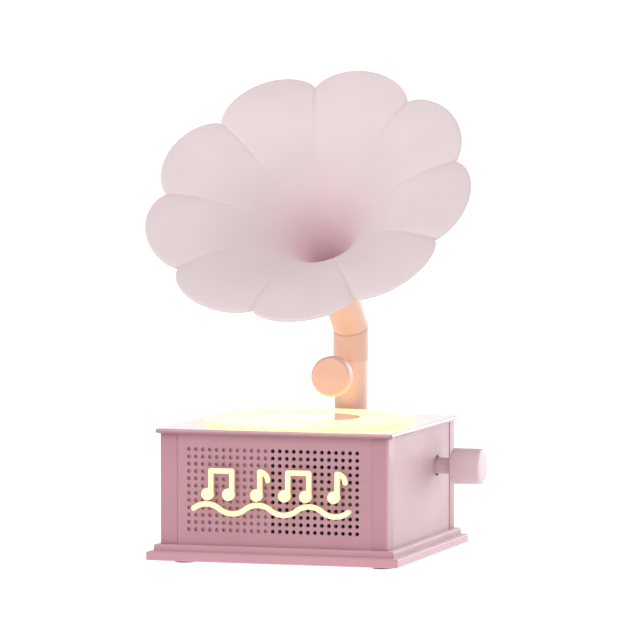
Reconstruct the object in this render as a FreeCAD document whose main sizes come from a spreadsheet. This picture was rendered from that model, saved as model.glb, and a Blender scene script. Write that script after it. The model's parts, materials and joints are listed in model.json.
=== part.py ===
import FreeCAD, Part
import Sketcher
import math
import os
import re

# Music box in the shape of a horn gramophone. Millimetres, +Z up, front towards -Y, knob towards +X.
# The pieces are made about the centre of the square case, and are written out with the origin on the ground
# under the middle of the whole object's box.

SIZES = {
    # plinth, feet, case and lid
    "stand_x": -1.12,
    "stand_y": -8.08,
    "case_side": 98.0,
    "case_height": 45.8,
    "post_side": 7.2,
    "panel_recess": 0.3,
    "panel_thickness": 2.4,
    "plinth_lower_over": 4.9,
    "plinth_lower_height": 3.65,
    "plinth_upper_over": 2.4,
    "plinth_upper_height": 2.8,
    "plinth_round": 0.7,
    "foot_height": 1.95,
    "foot_radius": 4.4,
    "foot_inset": 11.4,
    "foot_setback": 17.0,
    "foot_bevel": 0.4,
    "lid_over": 1.8,
    "lid_thickness": 1.9,
    "lid_round_share": 0.45,
    # holes of the front panel
    "grille_columns": 25,
    "grille_rows": 12,
    "grille_pitch": 3.0,
    "grille_hole_radius": 0.85,
    "grille_rise": 0.1,
    "grille_shift": -0.75,
    "backing_thickness": 1.0,
    # luminous top
    "platter_radius": 43.7,
    "platter_rise": 2.1,
    "platter_bevel": 0.5,
    "seat_step": 4.0,
    "label_radius": 21.2,
    "label_thickness": 0.4,
    "tray_gap": 5.3,
    "tray_depth": 5.0,
    "tray_wall": 1.4,
    "light_board_inner": 20.0,
    "light_board_outer": 34.0,
    "light_board_thickness": 1.0,
    "lamp_count": 12,
    "lamp_length": 3.5,
    "lamp_width": 2.8,
    "lamp_height": 0.8,
    # luminous motif on the front
    "motif_tube_radius": 1.15,
    "motif_standoff": 1.6,
    "motif_waves": 6,
    "motif_rows": 2,
    "motif_wave_height": 1.9,
    "note_head_radius": 2.5,
    "note_stem_length": 9.6,
    "note_flag_length": 3.4,
    "peg_clearance": 0.05,
    # pipe, soundbox and horn
    "pipe_standoff": 11.3,
    "pipe_radius": 7.0,
    "pipe_bore": 4.2,
    "shoulder_rise": 5.1,
    "spigot_length": 9.0,
    "swivel_clearance": 0.05,
    "tube_radius": 7.5,
    "horn_wall": 1.6,
    "elbow_rise": 13.9,
    "horn_tilt": 46.2,
    "horn_reach": 84.0,
    "horn_depth": 55.0,
    "petal_count": 9,
    "petal_turn": 19.5,
    "petal_notch_radius": 62.3,
    "petal_tip_radius": 69.8,
    "petal_tip_lift": 2.9,
    "petal_fullness": 1.4,
    "soundbox_radius": 8.6,
    "soundbox_thickness": 6.0,
    "soundbox_bevel": 0.8,
    "soundbox_reach": 30.7,
    "soundbox_clear": 5.9,
    "arm_radius": 2.6,
    "bracket_width": 34.0,
    "bracket_height": 26.0,
    "bracket_plate": 3.0,
    "bracket_drop": 3.0,
    "bracket_web": 18.0,
    "boss_wall": 3.0,
    "boss_floor": 4.0,
    # winding knob
    "knob_y": 23.3,
    "knob_drop": 17.1,
    "knob_radius": 7.5,
    "knob_length": 12.7,
    "knob_bevel": 0.9,
    "stem_radius": 3.4,
    "stem_length": 7.1,
    "bush_wall": 0.9,
    "bush_inset": 0.9,
    "bush_flange": 1.4,
    "bush_flange_thickness": 0.9,
    "running_clearance": 0.05,
    # frame of the movement
    "bed_thickness": 2.0,
    "bed_front": 14.0,
    "bed_back": 33.0,
    "plate_thickness": 1.5,
    "plate_gap": 3.3,
    "plate_spacing": 41.0,
    "plate_top_margin": 5.5,
    "plate_edge": 1.0,
    "governor_depth": 14.5,
    "pillar_radius": 1.8,
    "pillar_inset": 3.6,
    # wheels and arbors
    "great_teeth": 30,
    "leaf_count": 10,
    "wheel_teeth": 36,
    "drive_module": 0.65,
    "second_module": 0.5,
    "fly_module": 0.4,
    "wheel_addendum": 0.65,
    "leaf_addendum": 0.9,
    "tooth_root": 1.1,
    "tooth_play": 0.15,
    "mesh_clearance": 0.05,
    "pressure_angle": 20.0,
    "drive_angle": 210.0,
    "second_angle": 160.0,
    "fly_angle": 215.0,
    "great_width": 2.5,
    "wheel_width": 1.5,
    "wheel_gap": 1.5,
    "second_gap": 3.0,
    "winding_arbor_radius": 2.0,
    "arbor_radius": 1.0,
    "fine_arbor_radius": 0.7,
    "drum_radius": 9.0,
    "drum_wall": 0.8,
    "drum_length": 11.0,
    "drum_play": 1.0,
    "cap_thickness": 1.0,
    "spring_clearance": 0.3,
    "spring_inner": 3.0,
    "ratchet_teeth": 16,
    "ratchet_radius": 6.0,
    "ratchet_depth": 0.9,
    "ratchet_width": 1.4,
    "ratchet_gap": 0.3,
    "click_length": 7.0,
    "click_width": 1.8,
    "click_thickness": 1.2,
    "click_clearance": 0.3,
    "stud_radius": 0.8,
    "fly_radius": 6.0,
    "fly_length": 4.8,
    "fly_blade": 0.8,
    "fly_hub": 1.6,
    "fly_gap": 1.2,
    # cylinder and comb
    "cylinder_radius": 6.5,
    "cylinder_length": 22.0,
    "cylinder_play": 3.0,
    "pin_radius": 0.25,
    "pin_height": 0.7,
    "pins_per_tooth": 6,
    "comb_teeth": 18,
    "comb_tooth_pitch": 1.15,
    "comb_slit": 0.3,
    "comb_tooth_length": 9.6,
    "comb_root_length": 7.0,
    "comb_thickness": 1.0,
    "comb_clearance": 0.2,
    # battery, switch and fasteners
    "cell_radius": 5.25,
    "cell_length": 44.5,
    "cell_gap": 0.3,
    "contact_depth": 2.0,
    "contact_plate": 0.5,
    "contact_side": 7.0,
    "holder_wall": 1.2,
    "holder_gap": 0.8,
    "door_thickness": 1.8,
    "door_lip": 1.5,
    "door_clearance": 0.15,
    "switch_inset": 13.8,
    "switch_rise": 12.0,
    "switch_length": 12.0,
    "switch_depth": 5.0,
    "switch_height": 6.0,
    "slider_length": 3.0,
    "slider_height": 2.2,
    "slider_proud": 1.6,
    "slider_seat": 1.2,
    "slider_travel": 3.0,
    "slider_clearance": 0.15,
    "screw_radius": 1.2,
    "screw_head_radius": 2.3,
    "screw_head_height": 1.4,
    "screw_bite": 6.0,
    "screw_clearance": 0.05,
}

# Levels and planes of the case
DECK = "(foot_height + plinth_lower_height + plinth_upper_height)"
CASE_TOP = f"({DECK} + case_height)"
LID_TOP = f"({CASE_TOP} + lid_thickness)"
PANEL_OUTER = "(case_side / 2 - panel_recess)"
PANEL_INNER = f"({PANEL_OUTER} - panel_thickness)"
PANEL_SPAN = "(case_side - 2 * post_side)"
POST_CENTRE = "(case_side / 2 - post_side / 2)"
GRILLE_MIDDLE = f"({DECK} + case_height / 2 + grille_rise)"
MOTIF_PLANE = f"({PANEL_OUTER} + motif_standoff + motif_tube_radius)"
TRAY_RADIUS = f"({PANEL_INNER} - tray_gap)"
SEAT_RADIUS = f"({TRAY_RADIUS} - seat_step)"

# Pipe, soundbox and elbow
PIPE_Y = f"({PANEL_OUTER} + pipe_standoff)"
SOUNDBOX_Y = f"({PIPE_Y} - soundbox_reach)"
SOUNDBOX_Z = f"({LID_TOP} + platter_rise + soundbox_clear + soundbox_radius)"
PIPE_SHOULDER = f"({SOUNDBOX_Z} + shoulder_rise)"
ELBOW_Z = f"({PIPE_SHOULDER} + elbow_rise)"

# Axes and faces of the movement
BARREL_Y = "knob_y"
BARREL_Z = f"({CASE_TOP} - knob_drop)"
DRIVE_CENTRES = "(drive_module * (great_teeth + leaf_count) / 2 + mesh_clearance)"
SECOND_CENTRES = "(second_module * (wheel_teeth + leaf_count) / 2 + mesh_clearance)"
FLY_CENTRES = "(fly_module * (wheel_teeth + leaf_count) / 2 + mesh_clearance)"
CYLINDER_Y = f"({BARREL_Y} + {DRIVE_CENTRES} * cos(drive_angle))"
CYLINDER_Z = f"({BARREL_Z} + {DRIVE_CENTRES} * sin(drive_angle))"
SECOND_Y = f"({CYLINDER_Y} + {SECOND_CENTRES} * cos(second_angle))"
SECOND_Z = f"({CYLINDER_Z} + {SECOND_CENTRES} * sin(second_angle))"
FLY_Y = f"({SECOND_Y} + {FLY_CENTRES} * cos(fly_angle))"
FLY_Z = f"({SECOND_Z} + {FLY_CENTRES} * sin(fly_angle))"
BED_TOP = f"({DECK} + bed_thickness)"
PLATE_TOP = f"({BARREL_Z} + plate_top_margin)"
RIGHT_PLATE_OUT = f"({PANEL_INNER} - plate_gap)"
RIGHT_PLATE_IN = f"({RIGHT_PLATE_OUT} - plate_thickness)"
LEFT_PLATE_IN = f"({RIGHT_PLATE_IN} - plate_spacing)"
LEFT_PLATE_OUT = f"({LEFT_PLATE_IN} - plate_thickness)"
GOVERNOR_IN = f"({LEFT_PLATE_OUT} - governor_depth)"
GOVERNOR_OUT = f"({GOVERNOR_IN} - plate_thickness)"
DRUM_END = f"({RIGHT_PLATE_IN} - drum_play)"
DRUM_START = f"({DRUM_END} - drum_length)"
GREAT_START = f"({DRUM_START} - great_width)"
CYLINDER_START = f"({LEFT_PLATE_IN} + cylinder_play)"
CYLINDER_WHEEL_START = f"({LEFT_PLATE_OUT} - wheel_gap - wheel_width)"
SECOND_WHEEL_START = f"({CYLINDER_WHEEL_START} - second_gap - wheel_width)"
FLY_START = f"({SECOND_WHEEL_START} - fly_gap - fly_length)"
RATCHET_START = f"({RIGHT_PLATE_OUT} + ratchet_gap)"
CLICK_Y = f"({BARREL_Y} - ratchet_radius - click_clearance - click_width)"
CLICK_Z = f"({BARREL_Z} + click_length - click_width)"
STEM_START = f"({PANEL_INNER} + running_clearance)"
KNOB_START = f"({STEM_START} + panel_thickness + stem_length)"
KNOB_END = f"({KNOB_START} + knob_length)"
COMB_TIP = f"({CYLINDER_Y} - cylinder_radius - pin_height - comb_clearance)"
COMB_WIDTH = "(comb_teeth * comb_tooth_pitch)"
COMB_START = f"({CYLINDER_START} + (cylinder_length - {COMB_WIDTH}) / 2)"
COMB_MIDDLE = f"({COMB_START} + {COMB_WIDTH} / 2)"
COMB_ROOT_MIDDLE = f"({COMB_TIP} - comb_tooth_length - comb_root_length / 2)"
COMB_UNDER = f"({CYLINDER_Z} - comb_thickness / 2)"

# Battery and bracket
HOLDER_INNER_WIDTH = "(4 * cell_radius + 3 * cell_gap)"
HOLDER_INNER_LENGTH = "(cell_length + 2 * contact_depth)"
HOLDER_FRONT = f"({PANEL_INNER} - backing_thickness - holder_gap)"
HOLDER_Y = f"({HOLDER_INNER_WIDTH} / 2 + holder_wall - {HOLDER_FRONT})"
BED_SCREW_INSET = "(2 * screw_head_radius)"
HOLDER_INNER_HEIGHT = "(2 * cell_radius + cell_gap)"
CELL_Z = f"({DECK} + cell_radius)"
BRACKET_TOP = f"({CASE_TOP} - bracket_drop)"
BRACKET_FOOT = f"({BRACKET_TOP} - bracket_height)"
PIPE_FOOT = f"({BRACKET_FOOT} + boss_floor)"
BRACKET_FACE = f"({PANEL_OUTER} + bracket_plate + screw_head_height)"
HEAD_PLANE = "(foot_height + door_thickness)"
SWITCH_X = f"(switch_inset - {PANEL_SPAN} / 2)"

# Columns of the grille, counted from its middle, that hold the heads of single and beamed notes
NOTE_COLUMNS = ((-9, -6), (-2,), (2, 5), (9,))

X_AXIS = FreeCAD.Vector(1, 0, 0)
Y_AXIS = FreeCAD.Vector(0, 1, 0)
Z_AXIS = FreeCAD.Vector(0, 0, 1)
TURNS = {
    "Z": FreeCAD.Rotation(),
    "X": FreeCAD.Rotation(FreeCAD.Vector(1, 1, 1), 120),
    "Y": FreeCAD.Rotation(X_AXIS, -90),
    "-Y": FreeCAD.Rotation(X_AXIS, 90),
    "-Z": FreeCAD.Rotation(X_AXIS, 180),
}

doc = FreeCAD.newDocument("music_box")
sheet = doc.addObject("Spreadsheet::Sheet", "Sizes")
nodes = []


def fill_sheet():
    for row, (alias, number) in enumerate(SIZES.items(), start=1):
        sheet.set(f"A{row}", alias)
        sheet.set(f"B{row}", str(number))
        sheet.setAlias(f"B{row}", alias)
    doc.recompute()


def size(alias):
    return float(sheet.get(alias))


def count(alias):
    return int(round(size(alias)))


def linked(formula):
    """The formula with each size's name pointed at its cell."""
    return re.sub(r"[a-z_]+", lambda word: "Sizes." + word[0] if word[0] in SIZES else word[0], formula)


def bind(piece, **formulas):
    for name, formula in formulas.items():
        piece.setExpression(name, linked(formula))


def place(piece, x, y, z, rotation=FreeCAD.Rotation()):
    piece.Placement = FreeCAD.Placement(FreeCAD.Vector(), rotation)
    for axis, formula in zip("xyz", (x, y, z)):
        piece.setExpression(f"Placement.Base.{axis}", linked(formula))
    return piece


def block(name, length, width, height, x, y, z):
    """A box centred on x and y that stands on z."""
    piece = doc.addObject("Part::Box", name)
    bind(piece, Length=length, Width=width, Height=height)
    return place(piece, f"{x} - ({length}) / 2", f"{y} - ({width}) / 2", z)


def slab(name, length, width, height, x, y, z):
    """A box that starts at x, is centred on y and stands on z."""
    return block(name, length, width, height, f"{x} + ({length}) / 2", y, z)


def rod(name, radius, length, x, y, z, along="Z"):
    piece = doc.addObject("Part::Cylinder", name)
    bind(piece, Radius=radius, Height=length)
    return place(piece, x, y, z, TURNS[along])


def join(name, *pieces):
    fused = doc.addObject("Part::MultiFuse", name)
    fused.Shapes = list(pieces)
    return fused


def group(name, pieces):
    together = doc.addObject("Part::Compound", name)
    together.Links = list(pieces)
    return together


def carve(name, base, *tools):
    cut = doc.addObject("Part::Cut", name)
    cut.Base = base
    cut.Tool = tools[0] if len(tools) == 1 else join(f"{name}_tools", *tools)
    return cut


def eased(name, base, radius, chosen):
    """Rounds the chosen edges of a piece."""
    doc.recompute()
    rounded = doc.addObject("Part::Fillet", name)
    rounded.Base = base
    picked = [number for number, edge in enumerate(base.Shape.Edges, start=1) if chosen(edge)]
    rounded.Edges = [(number, radius, radius) for number in picked]
    return rounded


def formed(name, shape, x, y, z, rotation=FreeCAD.Rotation()):
    """A piece whose shape is worked out here and then placed."""
    piece = doc.addObject("Part::Feature", name)
    piece.Shape = shape
    return place(piece, x, y, z, rotation)


def turned(name, profile, x, y, z, along="Z"):
    """A lathe piece: radius and height pairs, turned about its own upright axis and then placed."""
    body = doc.addObject("PartDesign::Body", name)
    upright = [plane for plane in body.Origin.OriginFeatures if plane.Role == "XZ_Plane"][0]
    sketch = body.newObject("Sketcher::SketchObject", f"{name}_profile")
    sketch.AttachmentSupport = (upright, [""])
    sketch.MapMode = "FlatFace"
    corners = [FreeCAD.Vector(*[measured(formula) for formula in pair], 0) for pair in profile]
    total = len(corners)
    for index in range(total):
        sketch.addGeometry(Part.LineSegment(corners[index], corners[(index + 1) % total]), False)
    for index in range(total):
        sketch.addConstraint(Sketcher.Constraint("Coincident", index, 2, (index + 1) % total, 1))
    for index, pair in enumerate(profile):
        for kind, formula in zip(("DistanceX", "DistanceY"), pair):
            number = sketch.addConstraint(Sketcher.Constraint(kind, -1, 1, index, 1, measured(formula)))
            sketch.setExpression(f"Constraints[{number}]", linked(formula))
    revolved = body.newObject("PartDesign::Revolution", f"{name}_turning")
    revolved.Profile = sketch
    revolved.ReferenceAxis = (sketch, ["V_Axis"])
    revolved.Angle = 360
    return place(body, x, y, z, TURNS[along])


def measured(formula):
    """The present value of a formula, read from a gauge of the document."""
    gauge.setExpression("Placement.Base.x", linked(formula))
    gauge.recompute()
    return gauge.Placement.Base.x


def node(piece):
    """Notes a finished piece that gets its own file."""
    nodes.append(piece)
    return piece


def screw(name, length, x, y, z, along):
    """A screw whose head's outer face lies at the given point and whose shank runs along the axis."""
    head = "screw_head_height"
    profile = [("0", "0"), ("screw_head_radius", "0"), ("screw_head_radius", head), ("screw_radius", head),
               ("screw_radius", f"{head} + {length}"), ("0", f"{head} + {length}")]
    return turned(name, profile, x, y, z, along)


def screw_hole(name, length, x, y, z, along):
    """Room for that screw's head and shank."""
    head = rod(f"{name}_head", "screw_head_radius + screw_clearance", "screw_head_height", x, y, z, along)
    shank_length = f"screw_head_height + {length}"
    shank = rod(f"{name}_shank", "screw_radius + screw_clearance", shank_length, x, y, z, along)
    return join(name, head, shank)


def four_corners(reach_x, reach_y):
    """The four sign combinations of a reach from the middle, with a number for names."""
    signs = [(-1, -1), (1, -1), (1, 1), (-1, 1)]
    return [(number, f"{sx} * {reach_x}", f"{sy} * {reach_y}") for number, (sx, sy) in enumerate(signs)]


def base_screw_places():
    """Screws from below: one into each post and one near each corner of the movement's bed."""
    places = [("post", f"{POST_CENTRE} * {sx}", f"{POST_CENTRE} * {sy}")
              for sx in (-1, 1) for sy in (-1, 1)]
    for x in (f"({GOVERNOR_IN} + {BED_SCREW_INSET})", f"({RIGHT_PLATE_IN} - {BED_SCREW_INSET})"):
        for y in (f"({BED_SCREW_INSET} - bed_front)", f"(bed_back - {BED_SCREW_INSET})"):
            places.append(("bed", x, y))
    return [(number, kind, x, y) for number, (kind, x, y) in enumerate(places)]


def screw_bite(kind):
    through = f"({DECK} - {HEAD_PLANE} - screw_head_height)"
    return f"({through} + screw_bite)" if kind == "post" else f"({through} + bed_thickness)"


def make_plinth():
    lower_side = "case_side + 2 * plinth_lower_over"
    upper_side = "case_side + 2 * plinth_upper_over"
    upper_foot = "foot_height + plinth_lower_height"
    lower = block("plinth_lower_tier", lower_side, lower_side, "plinth_lower_height", "0", "0", "foot_height")
    upper = block("plinth_upper_tier", upper_side, upper_side, "plinth_upper_height", "0", "0", upper_foot)
    radius = size("plinth_round")
    step = size("foot_height") + size("plinth_lower_height")
    lower_round = eased("plinth_lower_round", lower, radius, lambda edge: True)
    upper_round = eased("plinth_upper_round", upper, radius, lambda edge: edge.BoundBox.ZMax > step + radius)
    opening = block("battery_opening", HOLDER_INNER_LENGTH, HOLDER_INNER_WIDTH, DECK, "0", HOLDER_Y, "0")
    rebate_length = f"({HOLDER_INNER_LENGTH} + 2 * door_lip)"
    rebate_width = f"({HOLDER_INNER_WIDTH} + 2 * door_lip)"
    rebate = block("door_rebate", rebate_length, rebate_width, HEAD_PLANE, "0", HOLDER_Y, "0")
    holes = []
    for number, kind, x, y in base_screw_places():
        holes.append(screw_hole(f"plinth_hole_{number}", DECK, x, y, HEAD_PLANE, "Z"))
        recess = "screw_head_radius + screw_clearance"
        holes.append(rod(f"plinth_recess_{number}", recess, HEAD_PLANE, x, y, "0"))
    board = join("plinth_board", lower_round, upper_round)
    node(carve("plinth", board, opening, rebate, *holes))

    door_length = f"({rebate_length} - 2 * door_clearance)"
    door_width = f"({rebate_width} - 2 * door_clearance)"
    node(block("battery_door", door_length, door_width, "door_thickness", "0", HOLDER_Y, "foot_height"))

    screws = [screw(f"base_screw_{number}", screw_bite(kind), x, y, HEAD_PLANE, "Z")
              for number, kind, x, y in base_screw_places()]
    node(group("base_screws", screws))

    reach_x = "(case_side / 2 + plinth_lower_over - foot_inset)"
    reach_y = "(case_side / 2 + plinth_lower_over - foot_setback)"
    profile = [("0", "0"), ("foot_radius - foot_bevel", "0"), ("foot_radius", "foot_bevel"),
               ("foot_radius", "foot_height"), ("0", "foot_height")]
    feet = [turned(f"foot_{number}", profile, x, y, "0") for number, x, y in four_corners(reach_x, reach_y)]
    node(group("feet", feet))


def make_posts():
    names = ("post_front_left", "post_front_right", "post_rear_right", "post_rear_left")
    for number, x, y in four_corners(POST_CENTRE, POST_CENTRE):
        stock = block(f"post_stock_{number}", "post_side", "post_side", "case_height", x, y, DECK)
        pilot = rod(f"post_pilot_{number}", "screw_radius + screw_clearance", "screw_bite", x, y, DECK)
        node(carve(names[number], stock, pilot))


def make_grille():
    """Front panel: one holed face, thickened backwards."""
    span = size("case_side") - 2 * size("post_side")
    height = size("case_height")
    columns = count("grille_columns")
    rows = count("grille_rows")
    pitch = size("grille_pitch")
    middle = height / 2 + size("grille_rise")
    corners = [(-span / 2, 0), (span / 2, 0), (span / 2, height), (-span / 2, height), (-span / 2, 0)]
    outline = Part.makePolygon([FreeCAD.Vector(x, 0, z) for x, z in corners])
    holes = []
    for column in range(columns):
        for row in range(rows):
            x = size("grille_shift") + (column - (columns - 1) / 2) * pitch
            centre = FreeCAD.Vector(x, 0, middle + (row - (rows - 1) / 2) * pitch)
            holes.append(Part.Wire(Part.makeCircle(size("grille_hole_radius"), centre, Y_AXIS)))
    face = Part.Face([outline] + holes, "Part::FaceMakerBullseye")
    panel = face.extrude(FreeCAD.Vector(0, size("panel_thickness"), 0))
    node(formed("front_grille", panel, "0", f"-{PANEL_OUTER}", DECK))

    right_edge = "(grille_shift - grille_pitch / 2)"
    width = f"({PANEL_SPAN} / 2 + {right_edge})"
    y = f"-{PANEL_INNER} + backing_thickness / 2"
    node(slab("grille_backing", width, "backing_thickness", "case_height", f"-{PANEL_SPAN} / 2", y, DECK))


def make_panels():
    wall = f"({PANEL_OUTER} - panel_thickness / 2)"
    node(block("left_panel", "panel_thickness", PANEL_SPAN, "case_height", f"-{wall}", "0", DECK))

    right = block("right_panel_stock", "panel_thickness", PANEL_SPAN, "case_height", wall, "0", DECK)
    hole = "stem_radius + running_clearance + bush_wall + screw_clearance"
    bore = rod("stem_opening", hole, "panel_thickness", PANEL_INNER, BARREL_Y, BARREL_Z, "X")
    node(carve("right_panel", right, bore))

    rear = block("rear_panel_stock", PANEL_SPAN, "panel_thickness", "case_height", "0", wall, DECK)
    slot_length = "slider_length + slider_travel + 2 * slider_clearance"
    slot_height = "(slider_height + 2 * slider_clearance)"
    slot = block("switch_slot", slot_length, "panel_thickness", slot_height, SWITCH_X, wall,
                 f"{DECK} + switch_rise - {slot_height} / 2")
    holes = [screw_hole(f"rear_hole_{number}", "bracket_plate + panel_thickness", x, BRACKET_FACE, z, "-Y")
             for number, x, z in bracket_screw_places()]
    node(carve("rear_panel", rear, slot, *holes))


def bracket_screw_places():
    reach_x = "(bracket_width / 2 - screw_head_radius - plate_edge)"
    middle = f"({BRACKET_FOOT} + bracket_height / 2)"
    reach_z = "(bracket_height / 2 - screw_head_radius - plate_edge)"
    return [(number, x, f"{middle} + {z}") for number, x, z in four_corners(reach_x, reach_z)]


def make_lid():
    side = "case_side + 2 * lid_over"
    board = block("lid_board", side, side, "lid_thickness", "0", "0", CASE_TOP)
    radius = size("lid_round_share") * size("lid_thickness")
    rounded = eased("lid_round_edge", board, radius, lambda edge: True)
    seat = rod("platter_seat", SEAT_RADIUS, "lid_thickness", "0", "0", CASE_TOP)
    node(carve("lid", rounded, seat))


def make_light():
    seat = f"({SEAT_RADIUS} - door_clearance)"
    recess = "label_radius + door_clearance"
    floor = "platter_rise - label_thickness"
    profile = [("0", "-lid_thickness"), (seat, "-lid_thickness"), (seat, "0"), ("platter_radius", "0"),
               ("platter_radius", "platter_rise - platter_bevel"),
               ("platter_radius - platter_bevel", "platter_rise"),
               (recess, "platter_rise"), (recess, floor), ("0", floor)]
    node(turned("platter", profile, "0", "0", LID_TOP))
    node(rod("platter_label", "label_radius", "label_thickness", "0", "0", f"{LID_TOP} + {floor}"))

    inner = f"({TRAY_RADIUS} - tray_wall)"
    profile = [(TRAY_RADIUS, "0"), (TRAY_RADIUS, "-tray_depth"), ("0", "-tray_depth"),
               ("0", "tray_wall - tray_depth"), (inner, "tray_wall - tray_depth"), (inner, "0")]
    node(turned("light_tray", profile, "0", "0", CASE_TOP))

    board_foot = f"({CASE_TOP} - tray_depth + tray_wall)"
    disc = rod("light_board_disc", "light_board_outer", "light_board_thickness", "0", "0", board_foot)
    middle = rod("light_board_middle", "light_board_inner", "light_board_thickness", "0", "0", board_foot)
    node(carve("light_board", disc, middle))

    lamps = []
    for number in range(count("lamp_count")):
        turn = 360.0 * number / count("lamp_count")
        chip = Part.makeBox(size("lamp_width"), size("lamp_length"), size("lamp_height"),
                            FreeCAD.Vector(-size("lamp_width") / 2, -size("lamp_length") / 2, 0))
        chip.translate(FreeCAD.Vector((size("light_board_inner") + size("light_board_outer")) / 2, 0, 0))
        chip.rotate(FreeCAD.Vector(), Z_AXIS, turn)
        lamps.append(chip)
    node(formed("lamps", Part.makeCompound(lamps), "0", "0", f"{board_foot} + light_board_thickness"))


def tube_along(edges, radius, start, direction):
    """A round tube along a chain of edges, with ball ends."""
    path = Part.Wire(edges)
    ring = Part.Wire(Part.makeCircle(radius, start, direction))
    tube = path.makePipeShell([ring], True, False)
    corners = path.OrderedVertexes
    return tube.fuse([Part.makeSphere(radius, corner.Point) for corner in (corners[0], corners[-1])])


def peg_at(x, z):
    """A peg from the motif's plane back through one hole of the grille to the panel's inner face."""
    length = size("motif_tube_radius") + size("motif_standoff") + size("panel_thickness")
    radius = size("grille_hole_radius") - size("peg_clearance")
    return Part.makeCylinder(radius, length, FreeCAD.Vector(x, 0, z), Y_AXIS)


def half_step(alias):
    """Half a pitch where the grid has an even number of holes and so none on its middle line."""
    return (count(alias) - 1) / 2 % 1.0


def wave_shape():
    """Half waves of equal chord, each an arc, strung between two pegs one column in from the grid's sides."""
    half_span = size("grille_pitch") * (count("grille_columns") - 3) / 2
    waves = count("motif_waves")
    chord = 2 * half_span / waves
    swell = size("motif_wave_height")
    arcs = []
    for number in range(waves):
        left = FreeCAD.Vector(-half_span + number * chord, 0, 0)
        right = left + FreeCAD.Vector(chord, 0, 0)
        crown = left + FreeCAD.Vector(chord / 2, 0, swell if number % 2 == 0 else -swell)
        arcs.append(Part.Arc(left, crown, right).toShape())
    slope = 2 * math.atan2(swell, chord / 2)
    start = FreeCAD.Vector(-half_span, 0, 0)
    heading = FreeCAD.Vector(math.cos(slope), 0, math.sin(slope))
    tube = tube_along(arcs, size("motif_tube_radius"), start, heading)
    return tube.fuse([peg_at(x, 0) for x in (-half_span, half_span)]).removeSplitter()


def note_shape(columns, beamed):
    """Round heads with stems, joined by a beam or ended by a flag, each on its own peg."""
    radius = size("motif_tube_radius")
    head = size("note_head_radius")
    stem = size("note_stem_length")
    flag = size("note_flag_length")
    solids = []
    tops = []
    for column in columns:
        x = (column + half_step("grille_columns")) * size("grille_pitch")
        disc = Part.makeCylinder(head, 2 * radius, FreeCAD.Vector(x, -radius, 0), Y_AXIS)
        foot = FreeCAD.Vector(x + head - radius, 0, 0)
        top = foot + FreeCAD.Vector(0, 0, stem)
        upright = Part.makeCylinder(radius, stem, foot, Z_AXIS)
        solids += [disc, upright, Part.makeSphere(radius, top), peg_at(x, 0)]
        tops.append(top)
    if beamed:
        reach = tops[1] - tops[0]
        solids.append(Part.makeCylinder(radius, reach.Length, tops[0], reach))
    else:
        tip = tops[0] + FreeCAD.Vector(flag, 0, -flag)
        half_turn = math.pi / 4
        bend = tops[0] + FreeCAD.Vector(flag * math.sin(half_turn), 0, -flag * (1 - math.cos(half_turn)))
        solids.append(tube_along([Part.Arc(tops[0], bend, tip).toShape()], radius, tops[0], X_AXIS))
    return solids[0].fuse(solids[1:]).removeSplitter()


def make_motif():
    middle_row = f"({GRILLE_MIDDLE} - mod((grille_rows - 1) / 2; 1) * grille_pitch)"
    wave_row = f"({middle_row} - motif_rows * grille_pitch)"
    node(formed("motif_wave", wave_shape(), "grille_shift", f"-{MOTIF_PLANE}", wave_row))
    notes = [note_shape(columns, len(columns) > 1) for columns in NOTE_COLUMNS]
    node(formed("motif_notes", Part.makeCompound(notes), "grille_shift", f"-{MOTIF_PLANE}", middle_row))


def make_pipe():
    bore = "(pipe_radius + screw_clearance)"
    plate = block("bracket_back", "bracket_width", "bracket_plate", "bracket_height", "0",
                  f"{PANEL_OUTER} + bracket_plate / 2", BRACKET_FOOT)
    web = block("bracket_arm", "bracket_web", "pipe_standoff", "bracket_height", "0",
                f"{PIPE_Y} - pipe_standoff / 2", BRACKET_FOOT)
    boss = rod("bracket_boss", f"{bore} + boss_wall", "bracket_height", "0", PIPE_Y, BRACKET_FOOT)
    clear_of_panel = block("bracket_trim", "2 * bracket_width", "bracket_width", "2 * bracket_height", "0",
                           f"{PANEL_OUTER} - bracket_width / 2", f"{BRACKET_FOOT} - bracket_height / 2")
    socket = rod("bracket_socket", bore, "bracket_height", "0", PIPE_Y, PIPE_FOOT)
    holes = [screw_hole(f"bracket_hole_{number}", "bracket_plate", x, BRACKET_FACE, z, "-Y")
             for number, x, z in bracket_screw_places()]
    casting = join("bracket_casting", plate, web, boss)
    node(carve("pipe_bracket", casting, clear_of_panel, socket, *holes))
    screws = [screw(f"bracket_screw_{number}", "bracket_plate + panel_thickness", x, BRACKET_FACE, z, "-Y")
              for number, x, z in bracket_screw_places()]
    node(group("bracket_screws", screws))

    shoulder = f"({PIPE_SHOULDER} - {PIPE_FOOT})"
    spigot = "(tube_radius - horn_wall - swivel_clearance)"
    top = f"({shoulder} + spigot_length)"
    profile = [("pipe_bore", "0"), ("pipe_radius", "0"), ("pipe_radius", shoulder), (spigot, shoulder),
               (spigot, top), ("pipe_bore", top)]
    node(turned("pipe", profile, "0", PIPE_Y, PIPE_FOOT))

    back = f"({SOUNDBOX_Y} + soundbox_thickness)"
    stock = rod("arm_stock", "arm_radius", f"{PIPE_Y} - {back}", "0", back, SOUNDBOX_Z, "Y")
    saddle = rod("arm_saddle", "pipe_radius", "4 * arm_radius", "0", PIPE_Y, f"{SOUNDBOX_Z} - 2 * arm_radius")
    node(carve("tone_arm", stock, saddle))

    inner = "soundbox_radius - soundbox_bevel"
    rear = "-soundbox_thickness"
    profile = [("0", "0"), (inner, "0"), ("soundbox_radius", "-soundbox_bevel"),
               ("soundbox_radius", f"{rear} + soundbox_bevel"), (inner, rear), ("0", rear)]
    node(turned("soundbox", profile, "0", SOUNDBOX_Y, SOUNDBOX_Z, "-Y"))


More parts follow.
